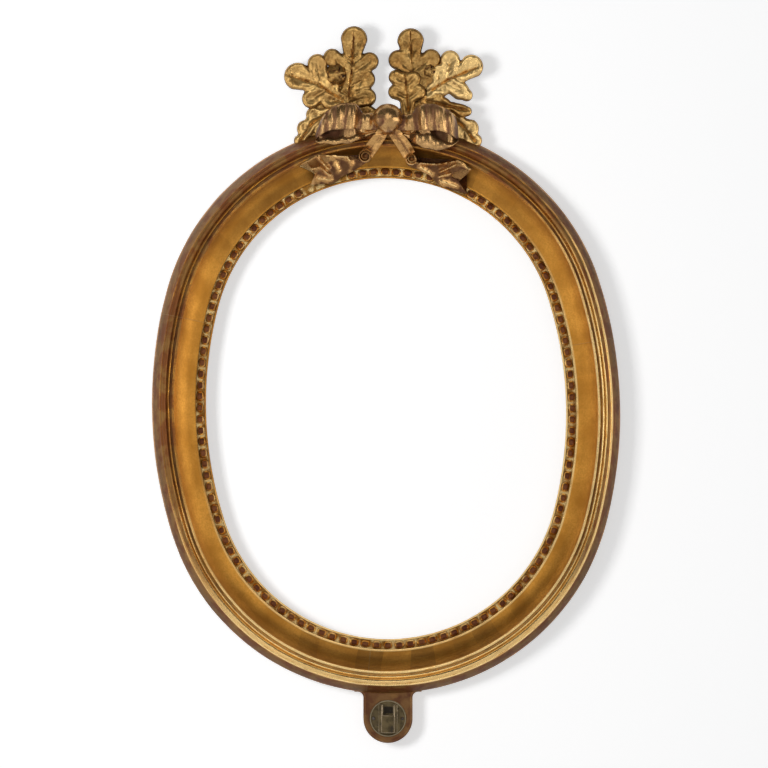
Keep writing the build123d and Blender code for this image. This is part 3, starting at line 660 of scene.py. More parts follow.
leafWork = {
    "cell": 0.9, "blend": 2.2, "root": 0.72, "blade": 6.4, "rim": 3.6, "dish": 1.5, "rimDrop": 1.3,
    "groove": 1.5, "vein": 0.55, "rough": 0.7, "back": 3.0, "backStep": 0.15, "undercut": 1.1,
}
sprays = {
    "left": [
        {
            "rib": [(-34, 18), (-30.5, 45), (-28.2, 81)], "low": 12.0, "high": 17.5, "puff": 2.6,
            "edge": 5.0, "age": 0.55,
            "lobes": [
                (-28.2, 74.3, 11.8), (-14.6, 55.1, 8.2), (-18.3, 39.4, 8.8), (-17.0, 23.6, 8.4),
                (-47.4, 58.4, 8.0), (-36, 27, 6),
            ],
        },
        {
            "rib": [(-33, 17), (-58, 34), (-87, 43.5)], "low": 13.5, "high": 16.0, "puff": 3.0,
            "edge": 5.0, "age": 0.2,
            "lobes": [
                (-77.6, 41.8, 12.3), (-60.4, 53.0, 8.8), (-47, 42, 7), (-65.5, 22.2, 8.6),
                (-49, 21, 8.4),
            ],
        },
        {
            "rib": [(-46, 12), (-64, 2), (-76, -16)], "low": 11.5, "high": 14.5, "puff": 2.4,
            "edge": 4.5, "age": 0.15,
            "lobes": [(-63.2, 8.2, 7.4), (-70.6, -4.0, 8.0), (-75.8, -14.6, 5.4), (-55, -6, 8)],
        },
        {
            "rib": [(-20, -4), (-30, 14), (-42, 20)], "low": 10.0, "high": 11.0, "puff": 1.5,
            "edge": 5.0, "age": 0.75,
            "lobes": [
                (-50, 6, 13), (-24, 6, 15), (-14, 6, 9), (-36, 26, 12), (-20, 26, 9), (-58, 13, 8),
                (-62, -9, 8), (-56, -14, 9),
            ],
        },
    ],
    "right": [
        {
            "rib": [(25, 22), (23, 48), (21.5, 81)], "low": 11.0, "high": 17.0, "puff": 2.6,
            "edge": 5.0, "age": 0.6,
            "lobes": [
                (21.7, 72.6, 11.8), (10.8, 56.5, 8.8), (39.6, 57.6, 8.6), (14, 38, 8), (35, 38, 8.5),
            ],
        },
        {
            "rib": [(36, 27), (54, 39), (80, 50)], "low": 13.0, "high": 16.0, "puff": 2.8, "edge": 5.0,
            "age": 0.0,
            "lobes": [
                (56.4, 56.2, 8.8), (75.0, 50.6, 10.6), (64.8, 29.6, 8.2), (71.0, 25.4, 5.4),
                (46, 46, 7), (49, 31, 7),
            ],
        },
        {
            "rib": [(34, 21), (50, 17), (73, 12)], "low": 13.0, "high": 15.5, "puff": 2.2, "edge": 4.5,
            "age": 0.3,
            "lobes": [
                (66.0, 11.4, 6.2), (71.4, 11.2, 4.2), (50, 15.5, 7.5), (45, 23, 6.5), (40, 16, 6),
            ],
        },
        {
            "rib": [(52, 8), (66, 0), (79, -16)], "low": 11.5, "high": 14.5, "puff": 2.4, "edge": 4.5,
            "age": 0.1,
            "lobes": [
                (73.0, -4.0, 8.8), (78.2, -14.6, 6.4), (61.5, 2.8, 8.0), (58, -8, 8), (68, -12, 8),
            ],
        },
        {
            "rib": [(19.6, 9.5), (18.2, 28), (16.8, 46)], "low": 17.5, "high": 19.5, "puff": 2.6,
            "edge": 4.5, "age": 0.45,
            "lobes": [
                (8.8, 41.0, 6.6), (24.2, 39.8, 6.6), (8.6, 28.2, 6.8), (28.0, 28.0, 7.0),
                (19.2, 15.5, 5.6), (17, 42, 4.2),
            ],
        },
        {
            "rib": [(22, -4), (32, 14), (46, 22)], "low": 10.0, "high": 11.0, "puff": 1.5, "edge": 5.0,
            "age": 0.65,
            "lobes": [
                (50, 6, 13), (26, 6, 15), (16, 6, 9), (40, 28, 12), (24, 30, 10), (61, -7, 9),
                (66, -12, 7),
            ],
        },
    ],
}
acorns = {"left": [(-43.6, 43.6, 10.4, 13.0, 23.0)], "right": [(38.4, 47.0, 7.0, 12.5, 18.6)]}
leafGilt = {
    **gilt, "leaf": (0.95, 0.58, 0.185), "deep": (0.5, 0.25, 0.062), "rough": 0.45, "metal": 0.76,
    "patchScale": 60, "patch": 0.8, "speck": 0.8, "speckScale": 380, "cloudScale": 95, "mottle": 0.6,
    "bump": 0.45,
}


def paintedLeafHighlight(finish):  # painted highlight on the less darkened leaves, away from the veins
    undarkened = 1 - finish.step(finish.read("age"), 0.0, 0.3)
    return undarkened * 0.45 * (1 - finish.step(finish.read("hollow"), 0.1, 0.4))


gildedLeaves = gilding(
    "gildedLeaves",
    leafGilt,
    lambda finish: 0.12 + finish.read("hollow") * 0.6 + finish.read("age") * 0.22,
    lambda finish: finish.grain(50, 2.0),
    # painted shade and dirt in the veins and along the edges, and each leaf's set darkening
    toneOf=lambda finish: finish.step(finish.read("hollow"), 0.25, 1.0) * 0.75 + finish.read("age") * 0.7,
    paintedHighlightOf=paintedLeafHighlight,
)


def barDistance(px, pz, first, last, firstRadius, lastRadius):  # from a tapering bar, and place along it
    dx, dz = last[0] - first[0], last[1] - first[1]
    t = np.clip(((px - first[0]) * dx + (pz - first[1]) * dz) / (dx * dx + dz * dz + 1e-9), 0, 1)
    away = np.hypot(px - first[0] - t * dx, pz - first[1] - t * dz)
    return away - firstRadius - (lastRadius - firstRadius) * t, t


def ribPlace(rib, t):
    points = np.array(rib, float)
    steps = np.linspace(0, 1, len(rib))
    return np.interp(t, steps, points[:, 0]), np.interp(t, steps, points[:, 1])


def softMinimum(first, second):
    near = np.clip(0.5 + 0.5 * (first - second) / leafWork["blend"], 0, 1)
    return first + (second - first) * near - leafWork["blend"] * near * (1 - near)


def leafDistance(px, pz, leaf):  # distance from the lobed outline, negative inside, and from the veins
    outline = np.full(np.shape(px), 1e3)
    veins = np.full(np.shape(px), 1e3)
    steps = np.linspace(0, 1, 41)
    ribX, ribZ = ribPlace(leaf["rib"], steps)
    for x, z, radius in leaf["lobes"]:
        nearest = steps[np.argmin(np.hypot(ribX - x, ribZ - z))]
        root = ribPlace(leaf["rib"], max(0.0, nearest - 0.16))  # the lobes lean towards the tip
        bar, along = barDistance(px, pz, root, (x, z), leafWork["root"] * radius, radius)
        outline = softMinimum(outline, bar)
        line, along = barDistance(px, pz, root, (x, z), 0, 0)
        veins = np.minimum(veins, line + 2 * np.maximum(along - 0.8, 0) * radius)
    midrib = np.full(np.shape(px), 1e3)
    place = np.zeros(np.shape(px))
    for index in range(len(leaf["rib"]) - 1):
        line, along = barDistance(px, pz, leaf["rib"][index], leaf["rib"][index + 1], 0, 0)
        if index + 1 < len(leaf["rib"]) - 1:  # the blade reaches from the stalk to the last bend of the rib
            outline = softMinimum(outline, line - leafWork["blade"])
        closer = line < midrib
        midrib = np.where(closer, line, midrib)
        place = np.where(closer, (index + along) / (len(leaf["rib"]) - 1), place)
    return outline, veins, midrib, place


def carvedLeaf(name, leaf, deepest):
    cell = leafWork["cell"]
    reachX = [x + side * (radius + 3) for x, _, radius in leaf["lobes"] for side in (-1, 1)]
    reachZ = [z + side * (radius + 3) for _, z, radius in leaf["lobes"] for side in (-1, 1)]
    wide = round((max(reachX) - min(reachX)) / cell)
    tall = round((max(reachZ) - min(reachZ)) / cell)
    piece = start(name, bpy.ops.mesh.primitive_grid_add, x_subdivisions=wide, y_subdivisions=tall, size=1)
    shape = editing(piece)
    places = np.array([vertex.co[:2] for vertex in shape.verts])
    px = min(reachX) + (places[:, 0] + 0.5) * wide * cell
    pz = min(reachZ) + (places[:, 1] + 0.5) * tall * cell
    outline = leafDistance(px, pz, leaf)[0]
    spare = [face for face in shape.faces if all(outline[vertex.index] > 0 for vertex in face.verts)]
    for _ in range(4):  # what is left outside is drawn in to the outline
        outline = leafDistance(px, pz, leaf)[0]
        slopeX = (leafDistance(px + 0.1, pz, leaf)[0] - outline) / 0.1
        slopeZ = (leafDistance(px, pz + 0.1, leaf)[0] - outline) / 0.1
        outside = np.maximum(outline, 0) / np.maximum(slopeX**2 + slopeZ**2, 0.2)
        px = px - outside * slopeX
        pz = pz - outside * slopeZ
    outline, veins, midrib, place = leafDistance(px, pz, leaf)
    inside = np.maximum(-outline, 0)
    rim = np.clip(inside / leafWork["rim"], 0, 1)
    height = leaf["low"] + (leaf["high"] - leaf["low"]) * place
    dish = leafWork["dish"] * max(leaf["puff"] - 1.6, 0) * np.clip((inside - 2.5) / 6, 0, 1)
    swell = leaf["puff"] * np.sqrt(1 - (1 - rim) ** 2) - dish
    edge = np.exp(-inside / 0.5)
    groove = np.exp(-((midrib / 0.9) ** 2)) * np.clip(place * 6, 0, 1)
    furrow = np.exp(-((veins / 0.8) ** 2))
    spots = [Vector((x, z, 0)) for x, z in zip(px, pz)]
    rough = np.array([
        noise.noise((spot + Vector((0, 0, 7))) * 0.16) + 0.5 * noise.noise((spot + Vector((0, 0, 3))) * 0.4)
        for spot in spots
    ])
    carving = leafWork["rimDrop"] * edge + leafWork["groove"] * groove + leafWork["vein"] * furrow
    front = height + swell - carving + leafWork["rough"] * rough
    back = np.maximum(deepest, height - leaf["edge"] - leafWork["undercut"] * inside)
    # painted shade along the edges, in the midrib groove and in the veins
    hollow = np.clip(edge + 0.4 * groove + 0.2 * furrow, 0, 1)
    layer = shape.verts.layers.float.new("hollow")
    darkeningLayer = shape.verts.layers.float.new("age")
    for vertex, x, z, level, shade in zip(shape.verts, px, pz, front, hollow):
        vertex.co = at(x, level, z + crestLevel)
        vertex[layer] = shade
        vertex[darkeningLayer] = leaf["age"]
    bmesh.ops.delete(shape, geom=spare, context="FACES")
    bmesh.update_edit_mesh(piece.data)
    lower = {tuple(round(value, 4) for value in (x, z)): level for x, z, level in zip(px, pz, back)}
    bpy.ops.mesh.select_all(action="SELECT")
    bpy.ops.mesh.extrude_region_move()
    shape = editing(piece)
    layer = shape.verts.layers.float["hollow"]
    for vertex in [found for found in shape.verts if found.select]:
        x, z = vertex.co.x / mm, vertex.co.z / mm - crestLevel
        level = lower.get((round(x, 4), round(z, 4)))
        if level is None:
            level = -vertex.co.y / mm - leaf["edge"]
        vertex.co = at(x, level, z + crestLevel)
        # painted shade on the leaf's sides and back
        vertex[layer] = 0.8
    bmesh.update_edit_mesh(piece.data)
    closeUp(piece)
    return piece


def carvedAcorn(name, x, z, radius, low, high):  # a nut seen from its end, in a shallow cup
    piece = start(name, bpy.ops.mesh.primitive_uv_sphere_add, segments=40, ring_count=26, radius=1)
    shape = editing(piece)
    layer = shape.verts.layers.float.new("hollow")
    darkeningLayer = shape.verts.layers.float.new("age")
    for vertex in shape.verts:
        level = vertex.co.z
        around = math.atan2(vertex.co.y, vertex.co.x)
        away = math.hypot(vertex.co.x, vertex.co.y)
        scale = 1 + 0.03 * math.sin(5 * around + 1) + 0.08 * noise.noise(vertex.co * 3)
        lip = math.exp(-(((level - 0.42) / 0.08) ** 2))  # groove between the cup and the nut
        cuts = noise.noise(vertex.co * 2.6) + 0.6 * noise.noise(vertex.co * 6)
        # painted shade in the groove under the cup and on the back, and tone that differs at random
        vertex[layer] = min(max(0.75 * lip, 0.8 * max(0.0, -level), 0.3 - 0.9 * cuts), 1.0)
        vertex[darkeningLayer] = 0.6
        vertex.co = at(
            x + radius * away * scale * math.cos(around) * (1 - 0.1 * lip),
            low + (high - low) * max(level, -0.6) + 1.1 * cuts,
            z + crestLevel + radius * away * scale * math.sin(around) * (1 - 0.1 * lip),
        )
    bmesh.update_edit_mesh(piece.data)
    closeUp(piece)
    return piece


for side, leaves in sprays.items():
    pieces = []
    for index, leaf in enumerate(leaves):  # no two backs lie in one plane
        pieces.append(carvedLeaf(f"leaf{index}", leaf, leafWork["back"] + leafWork["backStep"] * index))
    pieces += [carvedAcorn(f"acorn{index}", *acorn) for index, acorn in enumerate(acorns[side])]
    spray = joined(f"oakSprayCarved.{side}", pieces)
    complete(spray, 50, gildedLeaves, f"oak_spray_{side}")

# Ribbon bow


def sheetOf(name, long, wide, surface, base=crestLevel):  # a grid laid on a surface and closed
    piece = start(name, bpy.ops.mesh.primitive_grid_add, x_subdivisions=long, y_subdivisions=wide, size=1)
    shape = editing(piece)
    layer = shape.verts.layers.float.new("hollow")
    for vertex in shape.verts:
        x, height, z, shade = surface(vertex.co.x + 0.5, vertex.co.y + 0.5)
        vertex.co = at(x, height, z + base)
        vertex[layer] = shade
    bmesh.update_edit_mesh(piece.data)
    bpy.ops.mesh.select_all(action="SELECT")
    bpy.ops.mesh.remove_doubles(threshold=mergeGap)
    bpy.ops.mesh.fill_holes(sides=0)
    closeUp(piece)
    return piece


def follow(points, t):  # a smooth line through a few points, the first number of each being its place
    places = [point[0] for point in points]
    result = []
    for column in range(1, len(points[0])):
        values = [point[column] for point in points]
        slopes = np.gradient(values, places)
        index = min(max(int(np.searchsorted(places, t)) - 1, 0), len(places) - 2)
        span = places[index + 1] - places[index]
        u = unit((t - places[index]) / span)
        result.append(
            (2 * u**3 - 3 * u**2 + 1) * values[index]
            + (u**3 - 2 * u**2 + u) * span * slopes[index]
            + (3 * u**2 - 2 * u**3) * values[index + 1]
            + (u**3 - u**2) * span * slopes[index + 1]
        )
    return result


# each loop from the knot outwards: reach, top, front lip, upper and lower edge of the back lip
loops = {
    "left": {
        "hand": -1, "rings": 96, "mouth": 21.5, "pocket": (39, 57),
        "lines": [
            (7, 8.4, -5.8, -7.0, -8.6), (11.5, 8.8, -6.2, -8.0, -9.7), (17.2, 9.6, -6.1, -9.1, -12.6),
            (21.5, 10.2, -5.9, -10.2, -14.6), (23.6, 14.2, -5.9, -10.9, -15.6),
            (27, 17.0, -5.9, -11.8, -16.8), (34, 17.9, -6.1, -13.0, -18.4),
            (41.8, 17.0, -6.3, -13.9, -18.9), (48.6, 13.7, -7.0, -14.4, -19.2),
            (54.2, 8.0, -9.1, -15.0, -19.0), (58.1, 1.0, -11.7, -15.5, -18.6),
            (61.8, -8.6, -14.7, -16.2, -17.6),
        ],
        "ridges": [
            (16.4, 2.0, 3.4), (28.4, 2.8, 2.9), (40.6, 2.0, 3.2), (48.4, 1.3, 2.0), (55.2, 1.0, 1.8),
            (33.0, 0.9, 1.4),
        ],
    },
    "right": {
        "hand": 1, "rings": 96, "mouth": 24.0, "pocket": (41, 52),
        "lines": [
            (8, 7.8, -6.0, -7.4, -9.4), (15.4, 7.9, -6.9, -9.0, -12.2), (21, 8.6, -6.9, -9.6, -15.6),
            (24.2, 10.0, -6.9, -9.6, -18.0), (26.4, 13.8, -6.9, -9.6, -19.2),
            (31, 16.6, -6.9, -9.8, -21.4), (39, 17.2, -7.0, -10.8, -23.6),
            (46, 16.2, -7.4, -15.0, -24.3), (53, 13.0, -9.6, -18.4, -23.4),
            (58.5, 8.4, -12.2, -18.0, -20.6), (61.5, 3.6, -14.0, -17.0, -18.6),
            (63.6, -5.0, -15.0, -15.6, -16.6),
        ],
        "ridges": [
            (20.6, 2.0, 2.8), (31.8, 2.8, 2.4), (38.5, 0.9, 1.6), (49.2, 2.2, 2.9), (58.0, 1.4, 2.4),
            (44.0, 0.6, 1.2),
        ],
    },
}
ribbon = {
    "back": 31.5, "front": 46.8, "swell": 4.6, "wall": 2.6, "fan": 3.2, "lipDepth": 46.0, "rootDepth": 43.5,
}
ribbonGilt = {
    **gilt, "leaf": (0.62, 0.37, 0.15), "deep": (0.42, 0.235, 0.09), "bole": (0.2, 0.08, 0.04),
    "ground": (0.26, 0.13, 0.06), "rough": 0.4, "metal": 0.88, "patchScale": 75, "patch": 0.9,
    "bump": 0.2,
}
gildedRibbon = gilding(
    "gildedRibbon",
    ribbonGilt,
    lambda finish: 0.34 + finish.read("hollow") * 0.55,
    lambda finish: finish.grain(60, 2.0),
    toneOf=lambda finish: finish.step(finish.read("hollow"), 0.5, 1.0) * 0.5,
)


def bowLoop(side):
    loop = loops[side]
    lines = loop["lines"]
    root, end, mouth = lines[0][0], lines[-1][0], loop["mouth"]

    def surface(s, t):
        reach = root + (end - root) * s
        top, lip, backTop, backLow = follow(lines, reach)
        share = (reach - mouth) / (end - mouth)
        closing = max(0.0, (share - 0.8) / 0.2)  # the ribbon turns back on itself at the end
        opening = unit(share * 5 + 0.4)
        ridge = 0.0
        for place, tall, wide in loop["ridges"]:
            ridge += tall * math.exp(-(((reach - place) / wide) ** 2))
        back = ribbon["back"]
        front = ribbon["rootDepth"] + (ribbon["front"] - ribbon["rootDepth"]) * opening
        front += ribbon["swell"] * math.sin(math.pi * max(share, 0) ** 0.9)
        front += ridge * (1 - 0.5 * closing) - 9.0 * closing**2
        depth = front - back
        lipFront = back + (ribbon["lipDepth"] - back) * min(1.0, 0.45 + 0.8 * opening) - 5.0 * closing
        fall = top - lip
        hollowTop = lip + fall * 0.62 * opening * (1 - 0.6 * closing)
        wall = ribbon["wall"]
        begin, stop = loop["pocket"]  # the dark part of the mouth, sunk deeper and given painted shade
        pocket = unit((reach - begin) / 5 + 0.5) * unit((stop - reach) / 5 + 0.5)
        inner = back + 4.5 + (front - wall - 8.0 - back) * (1 - pocket)
        shelf = max(back + (lipFront - back) * 0.45, min(inner, lipFront) - 1.2)
        # each point: height, level and shade; painted shade inside the mouth and at the back
        outline = [
            (back, top - 2.0, 0.2), (back + depth * 0.3, top - 0.2, 0.1), (back + depth * 0.62, top, 0.0),
            (front - 2.4, top - 0.9, 0.0), (front - 0.5, top - fall * 0.2, 0.0),
            (front + 0.5, top - fall * 0.42, 0.0),
            (front + 0.1, top - fall * 0.65, 0.0), (front - 0.7, top - fall * 0.85, 0.0),
            (front - 1.4, lip + 0.5, 0.0),
            (front - 2.0, lip - 0.2, 0.1), (front - wall, lip + 0.3, 0.5),
            (front - wall - 0.9, lip + 1.4, 0.9),
            (front - wall - 1.6, (lip + hollowTop) / 2, 1.0), ((inner + front - wall) / 2, hollowTop, 1.0),
            (inner, (hollowTop + lip) / 2, 0.4 + 0.6 * pocket),
            (inner - 0.5, min(lip, backTop + 4), 0.2 + 0.7 * pocket),
            (shelf, backTop + 1.6, 0.1 + 0.5 * pocket), (lipFront - 2.2, backTop + 0.5, 0.15),
            (lipFront - 0.6, backTop, 0.0), (lipFront, (backTop + backLow) / 2, 0.0),
            (lipFront - 1.2, backLow + 0.3, 0.1), (lipFront - 4.0, backLow, 0.5),
            (back + 1.0, backLow + 2.0, 0.9), (back, backLow + 4.0, 0.9),
        ]
        index = int(t * len(outline)) % len(outline)
        height, z, shade = outline[index]
        x = reach
        if 16 <= index <= 21:  # the back lip waves a little
            wave = 0.9 * math.sin(reach * 0.5 + 1.0) * opening
            height += wave
            z += 0.5 * wave
        if 3 <= index <= 9:  # the flutes fan out downwards, with painted shade between them
            x += ribbon["fan"] * math.sin(math.pi * s) ** 2 * ((index - 3) / 6 - 0.4)
            cut = noise.noise(Vector((reach * 0.45, index * 0.35, loop["hand"])))
            height += 0.7 * cut
            shade += 0.7 * max(0.0, 1 - ridge / 1.6) ** 1.5 + 0.35 * cut
        return loop["hand"] * x, height, z, unit(shade)

    piece = sheetOf(f"bowLoopCarved.{side}", loop["rings"], 24, surface)
    finishWith(piece, "SUBSURF", levels=1, render_levels=1)
    complete(piece, 180, gildedRibbon, f"bow_loop_{side}")


for side in loops:
    bowLoop(side)

knot = {"place": (1.4, 3.9), "radius": 13.2, "height": 45.0, "gathers": 7}


def carvedKnot():
    def surface(s, t):
        around, rise = 2 * math.pi * t, math.pi * (0.02 + 0.96 * s)
        away, level = math.sin(rise), -math.cos(rise)
        crease = abs(math.sin(around * knot["gathers"] / 2 + 0.7 * level)) ** 6
        place = Vector((3 * away * math.cos(around), 3 * away * math.sin(around), 2 * level))
        radius = knot["radius"] * (1 - 0.018 * crease * away + 0.02 * noise.noise(place))
        height = knot["height"] + radius * level
        if level < -0.5:  # the stem under the ball
            height = knot["height"] - radius * (0.5 + 2.6 * (-level - 0.5))
            away = max(away, 0.68) if level > -0.97 else 0.02
        dx, dz = radius * away * math.cos(around), 0.98 * radius * away * math.sin(around)
        rubbed = max(0.0, 0.75 - math.hypot(dx + 4.5, dz + 3.0) / 9)  # handled at its lower left
        # painted shade in the gathers, and wear at the lower left
        return knot["place"][0] + dx, height, knot["place"][1] + dz, 0.5 * crease * away + rubbed

    piece = sheetOf("bowKnotCarved", 40, 56, surface)
    complete(piece, 60, gildedRibbon, "bow_knot")


carvedKnot()

# ribbon tails: upper edge, lower edge, band from the knot, and the roll between them
tails = {
    "left": {
        "upper": [
            (0, -18.0, -27.5), (0.3, -31, -28.4), (0.6, -48, -28.0), (0.82, -63.0, -28.4),
            (1, -76.3, -38.0),
        ],
        "lower": [
            (0, -18.0, -35.0), (0.3, -31, -43.0), (0.5, -38.5, -46.6), (0.64, -45.6, -52.0),
            (0.82, -55, -53.0), (1, -66.7, -54.0),
        ],
        "creases": [
            (-60.6, -29.8, -51.0, -40.2, 3.6, 2.6), (-57.8, -38.8, -49.4, -45.6, 4.6, 2.4),
            (-65.0, -40.6, -58.5, -39.4, 2.8, 2.6), (-75.4, -37.4, -65.0, -44.0, 2.8, 1.8),
            (-62.8, -44.0, -65.2, -52.2, 3.4, 2.0), (-75.6, -36.9, -66.2, -32.2, 2.4, 1.7),
            (-66.0, -32.0, -61.0, -28.6, 2.6, 1.7), (-59.0, -28.6, -34.0, -29.4, 2.6, 1.9),
            (-34.0, -29.8, -30.0, -36.0, 2.6, 2.6), (-43.8, -36.0, -41.4, -42.0, 2.0, 2.2),
            (-60.0, -48.4, -48.0, -49.8, 1.8, 2.2),
        ],
        "band": [
            (0, -1.0, -4.0, 5.0), (0.35, -5.2, -11.5, 5.2), (0.7, -11.5, -20.0, 5.6),
            (1, -16.5, -27.0, 5.8),
        ],
        "roll": (-18.3, -29.2, 5.9), "turn": 1, "notch": (0.12, 0.62),
    },
    "right": {
        "upper": [
            (0, 19.0, -29.5), (0.3, 32, -34.8), (0.6, 49, -35.0), (0.82, 63.5, -32.6), (1, 75.8, -40.6),
        ],
        "lower": [
            (0, 19.0, -37.0), (0.3, 32, -42.4), (0.46, 39.5, -46.8), (0.56, 44.4, -52.0),
            (0.82, 58, -58.0), (1, 71.6, -62.0),
        ],
        "creases": [
            (30.0, -35.0, 45.0, -36.2, 4.8, 2.0), (45.0, -36.2, 62.0, -33.4, 4.8, 2.0),
            (47.6, -42.8, 61.0, -36.8, 3.2, 1.8), (46.8, -46.8, 56.0, -44.4, 3.4, 2.0),
            (63.4, -33.4, 73.0, -40.6, 2.6, 1.8), (75.2, -41.0, 68.6, -48.6, 2.4, 1.6),
            (66.4, -49.6, 70.6, -57.0, 3.4, 1.8), (69.6, -52.0, 72.8, -58.0, 2.8, 1.5),
            (30.0, -38.6, 41.0, -45.0, 2.0, 2.4), (48.0, -50.6, 62.0, -55.4, 2.2, 2.2),
        ],
        "band": [
            (0, 4.0, -4.0, 5.2), (0.35, 9.4, -11.5, 5.6), (0.7, 16.0, -20.5, 6.0),
            (1, 20.5, -28.0, 5.8),
        ],
        "roll": (22.0, -31.2, 5.2), "turn": -1, "notch": (0.12, 0.68),
    },
}
tailGilt = {
    **ribbonGilt, "leaf": (0.62, 0.35, 0.125), "deep": (0.42, 0.21, 0.07),
    "bole": (0.2, 0.08, 0.038), "ground": (0.27, 0.125, 0.05),
}


def paintedTailHighlight(finish):  # painted highlight on the crowns of the creases
    crown = finish.step(0 - finish.read("hollow"), 0.0, 0.6)
    return crown * finish.step(finish.grain(110, 2.0), 0.34, 0.6) * 0.6


gildedTail = gilding(
    "gildedTail",
    tailGilt,
    lambda finish: 0.3 + finish.read("hollow") * 0.5,
    lambda finish: finish.grain(60, 2.0),
    toneOf=lambda finish: finish.step(finish.read("hollow"), 0.2, 1.0) * 0.5,
    paintedHighlightOf=paintedTailHighlight,
)
tailWork = {
    "rise": 3.6, "slope": 0.5, "sight": 18.5, "thick": 3.0, "bandFloor": 31.0, "bandLift": 5.5,
    "bandFall": 2.0, "rollHeight": 35.5, "rollDepth": 5.5, "rollTurns": 1.75, "core": (16.0, 36.0),
}


def ribbonTail(side):
    tail = tails[side]
    centreX, centreZ, radius, _, _ = arcsBetween(89, 91)[0]

    def clear(x, z):  # height that lies over the moulding at this place
        across = math.hypot(x - centreX, z + crestLevel - centreZ) - radius + oval["mouldingWidth"]
        flat = tailWork["sight"] + tailWork["slope"] * min(max(across, 0), 30)
        return max(flat, mouldingHeight(x, z + crestLevel) + 0.6), mouldingHeight(x, z + crestLevel)

    def end(s, t):
        over = t <= 0.5  # the first half of the sheet is the front, the second the back
        across = t * 2 if over else 2 - t * 2
        notch, middle = tail["notch"]
        forked = s * (1 - notch * (1 - abs(across - middle) / (middle if across < middle else 1 - middle)))
        (x0, z0), (x1, z1) = follow(tail["upper"], forked), follow(tail["lower"], forked)
        x, z = x0 + (x1 - x0) * across, z0 + (z1 - z0) * across
        high, low = clear(x, z)
        crease, crown = 0.0, 0.0
        for ax, az, bx, bz, tall, wide in tail["creases"]:
            off, _ = barDistance(np.array(x), np.array(z), (ax, az), (bx, bz), 0, 0)
            near = max(0.0, 1 - float(off) / wide / 1.7)
            crease, crown = max(crease, tall * near**1.5), max(crown, near)
        rough = noise.noise(Vector((x, z, 2)) * 0.25)
        crease += 0.5 * rough + 0.3 * noise.noise(Vector((x, z, 5)) * 0.7)
        lift = tailWork["rise"] * min(1.0, 0.5 + s) + crease
        # worn away from the creases, painted highlight on their crowns (negative), painted shade on the back
        if over:
            return x, high + lift, z, (0.8 + 0.5 * rough) * (1 - crown) - 1.6 * max(0.0, crown - 0.62)
        return x, max(low - 0.6, high + lift - tailWork["thick"] - 5.0 * (1 - abs(2 * across - 1))), z, 0.9

    def strip(s, t):  # the band from the knot, its edges turned forward, with painted shade in the fold down its middle
        x, z, half = follow(tail["band"], s)
        ahead = follow(tail["band"], min(s + 0.02, 1))
        behind = follow(tail["band"], max(s - 0.02, 0))
        along = Vector((ahead[0] - behind[0], ahead[1] - behind[1])).normalized()
        turn = 2 * math.pi * t
        wing = math.cos(turn)
        x += -along.y * half * wing
        z += along.x * half * wing
        base = max(clear(x, z)[0], tailWork["bandFloor"]) + tailWork["bandLift"] - tailWork["bandFall"] * s
        fold = math.exp(-((wing / 0.25) ** 2))
        face = (1.6 if math.sin(turn) > 0 else -3.4) * abs(math.sin(turn)) ** 0.6
        return x, base + face + 1.2 * abs(wing) ** 3 - 0.9 * fold, z, 0.5 * fold

    def roll(s, t):  # the ribbon wound on itself, seen from its end
        x, z, size = tail["roll"]
        angle = tail["turn"] * (2 * math.pi * tailWork["rollTurns"] * s + 0.6)
        away = size * (1 - 0.62 * s)
        thick = 0.85 * (1 - 0.25 * s)
        corner = 2 * math.pi * t
        out, tall = math.cos(corner), math.sin(corner)
        away += thick * (abs(out) ** 0.6) * (1 if out > 0 else -1)
        height = tailWork["rollHeight"] + 1.4 * s
        height += tailWork["rollDepth"] * (abs(tall) ** 0.5) * (1 if tall > 0 else -1)
        # painted shade on the back half of the roll, and a painted highlight on its front
        return x + away * math.cos(angle), height, z + away * math.sin(angle), 0.6 if tall < 0.2 else -0.3

    def core(s, t):  # what the roll is wound on, in painted shade
        x, z, size = tail["roll"]
        angle = 2 * math.pi * t
        away = size * (0.9 if s < 0.9 else 0.02)
        low, high = tailWork["core"]
        height = low + (high - low) * min(s / 0.9, 1)
        return x + away * math.cos(angle), height, z + away * math.sin(angle), 0.5

    pieces = [
        sheetOf("tailEnd", 110, 72, end),
        sheetOf("tailBand", 26, 20, strip),
        sheetOf("tailRoll", 60, 12, roll),
        sheetOf("tailCore", 10, 20, core),
    ]
    piece = joined(f"bowTailCarved.{side}", pieces)
    complete(piece, 50, gildedTail, f"bow_tail_{side}")


for side in tails:
    ribbonTail(side)

# Foot tongue and the socket on it

foot = {"x": 1.7, "level": oval["hangerDrop"] - 2 * ovalTop - 22.3, "edge": 0.7}
socket = {
    "seat": 12.0, "radius": 16.2, "nailOffset": 12.6, "hole": (8.4, 8.7, 1.2), "mouth": (0.6, 7.4),
    "dents": 0.14,
}


def copyOf(node, name, materials, edge=0.0, angle=30):  # a node's shape, its edges eased
    piece = bpy.data.objects.new(name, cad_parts[node].data.copy())
    piece.data.name = name
    scene.collection.objects.link(piece)
    dress(piece, *materials)
    only(piece)
    bpy.ops.object.mode_set(mode="EDIT")
    closeUp(piece)
    if edge:
        bpy.ops.object.mode_set(mode="EDIT")
        bpy.ops.mesh.select_all(action="SELECT")
        bpy.ops.mesh.dissolve_limited(angle_limit=math.radians(1))
        bpy.ops.object.mode_set(mode="OBJECT")
        bevel = {"width": edge * mm, "segments": 3, "limit_method": "ANGLE"}
        bevel["angle_limit"] = math.radians(angle)
        bevel["material"] = len(materials) - 1  # the eased edges are rubbed
        finishWith(piece, "BEVEL", **bevel)
    smooth(piece, 35)
    return piece


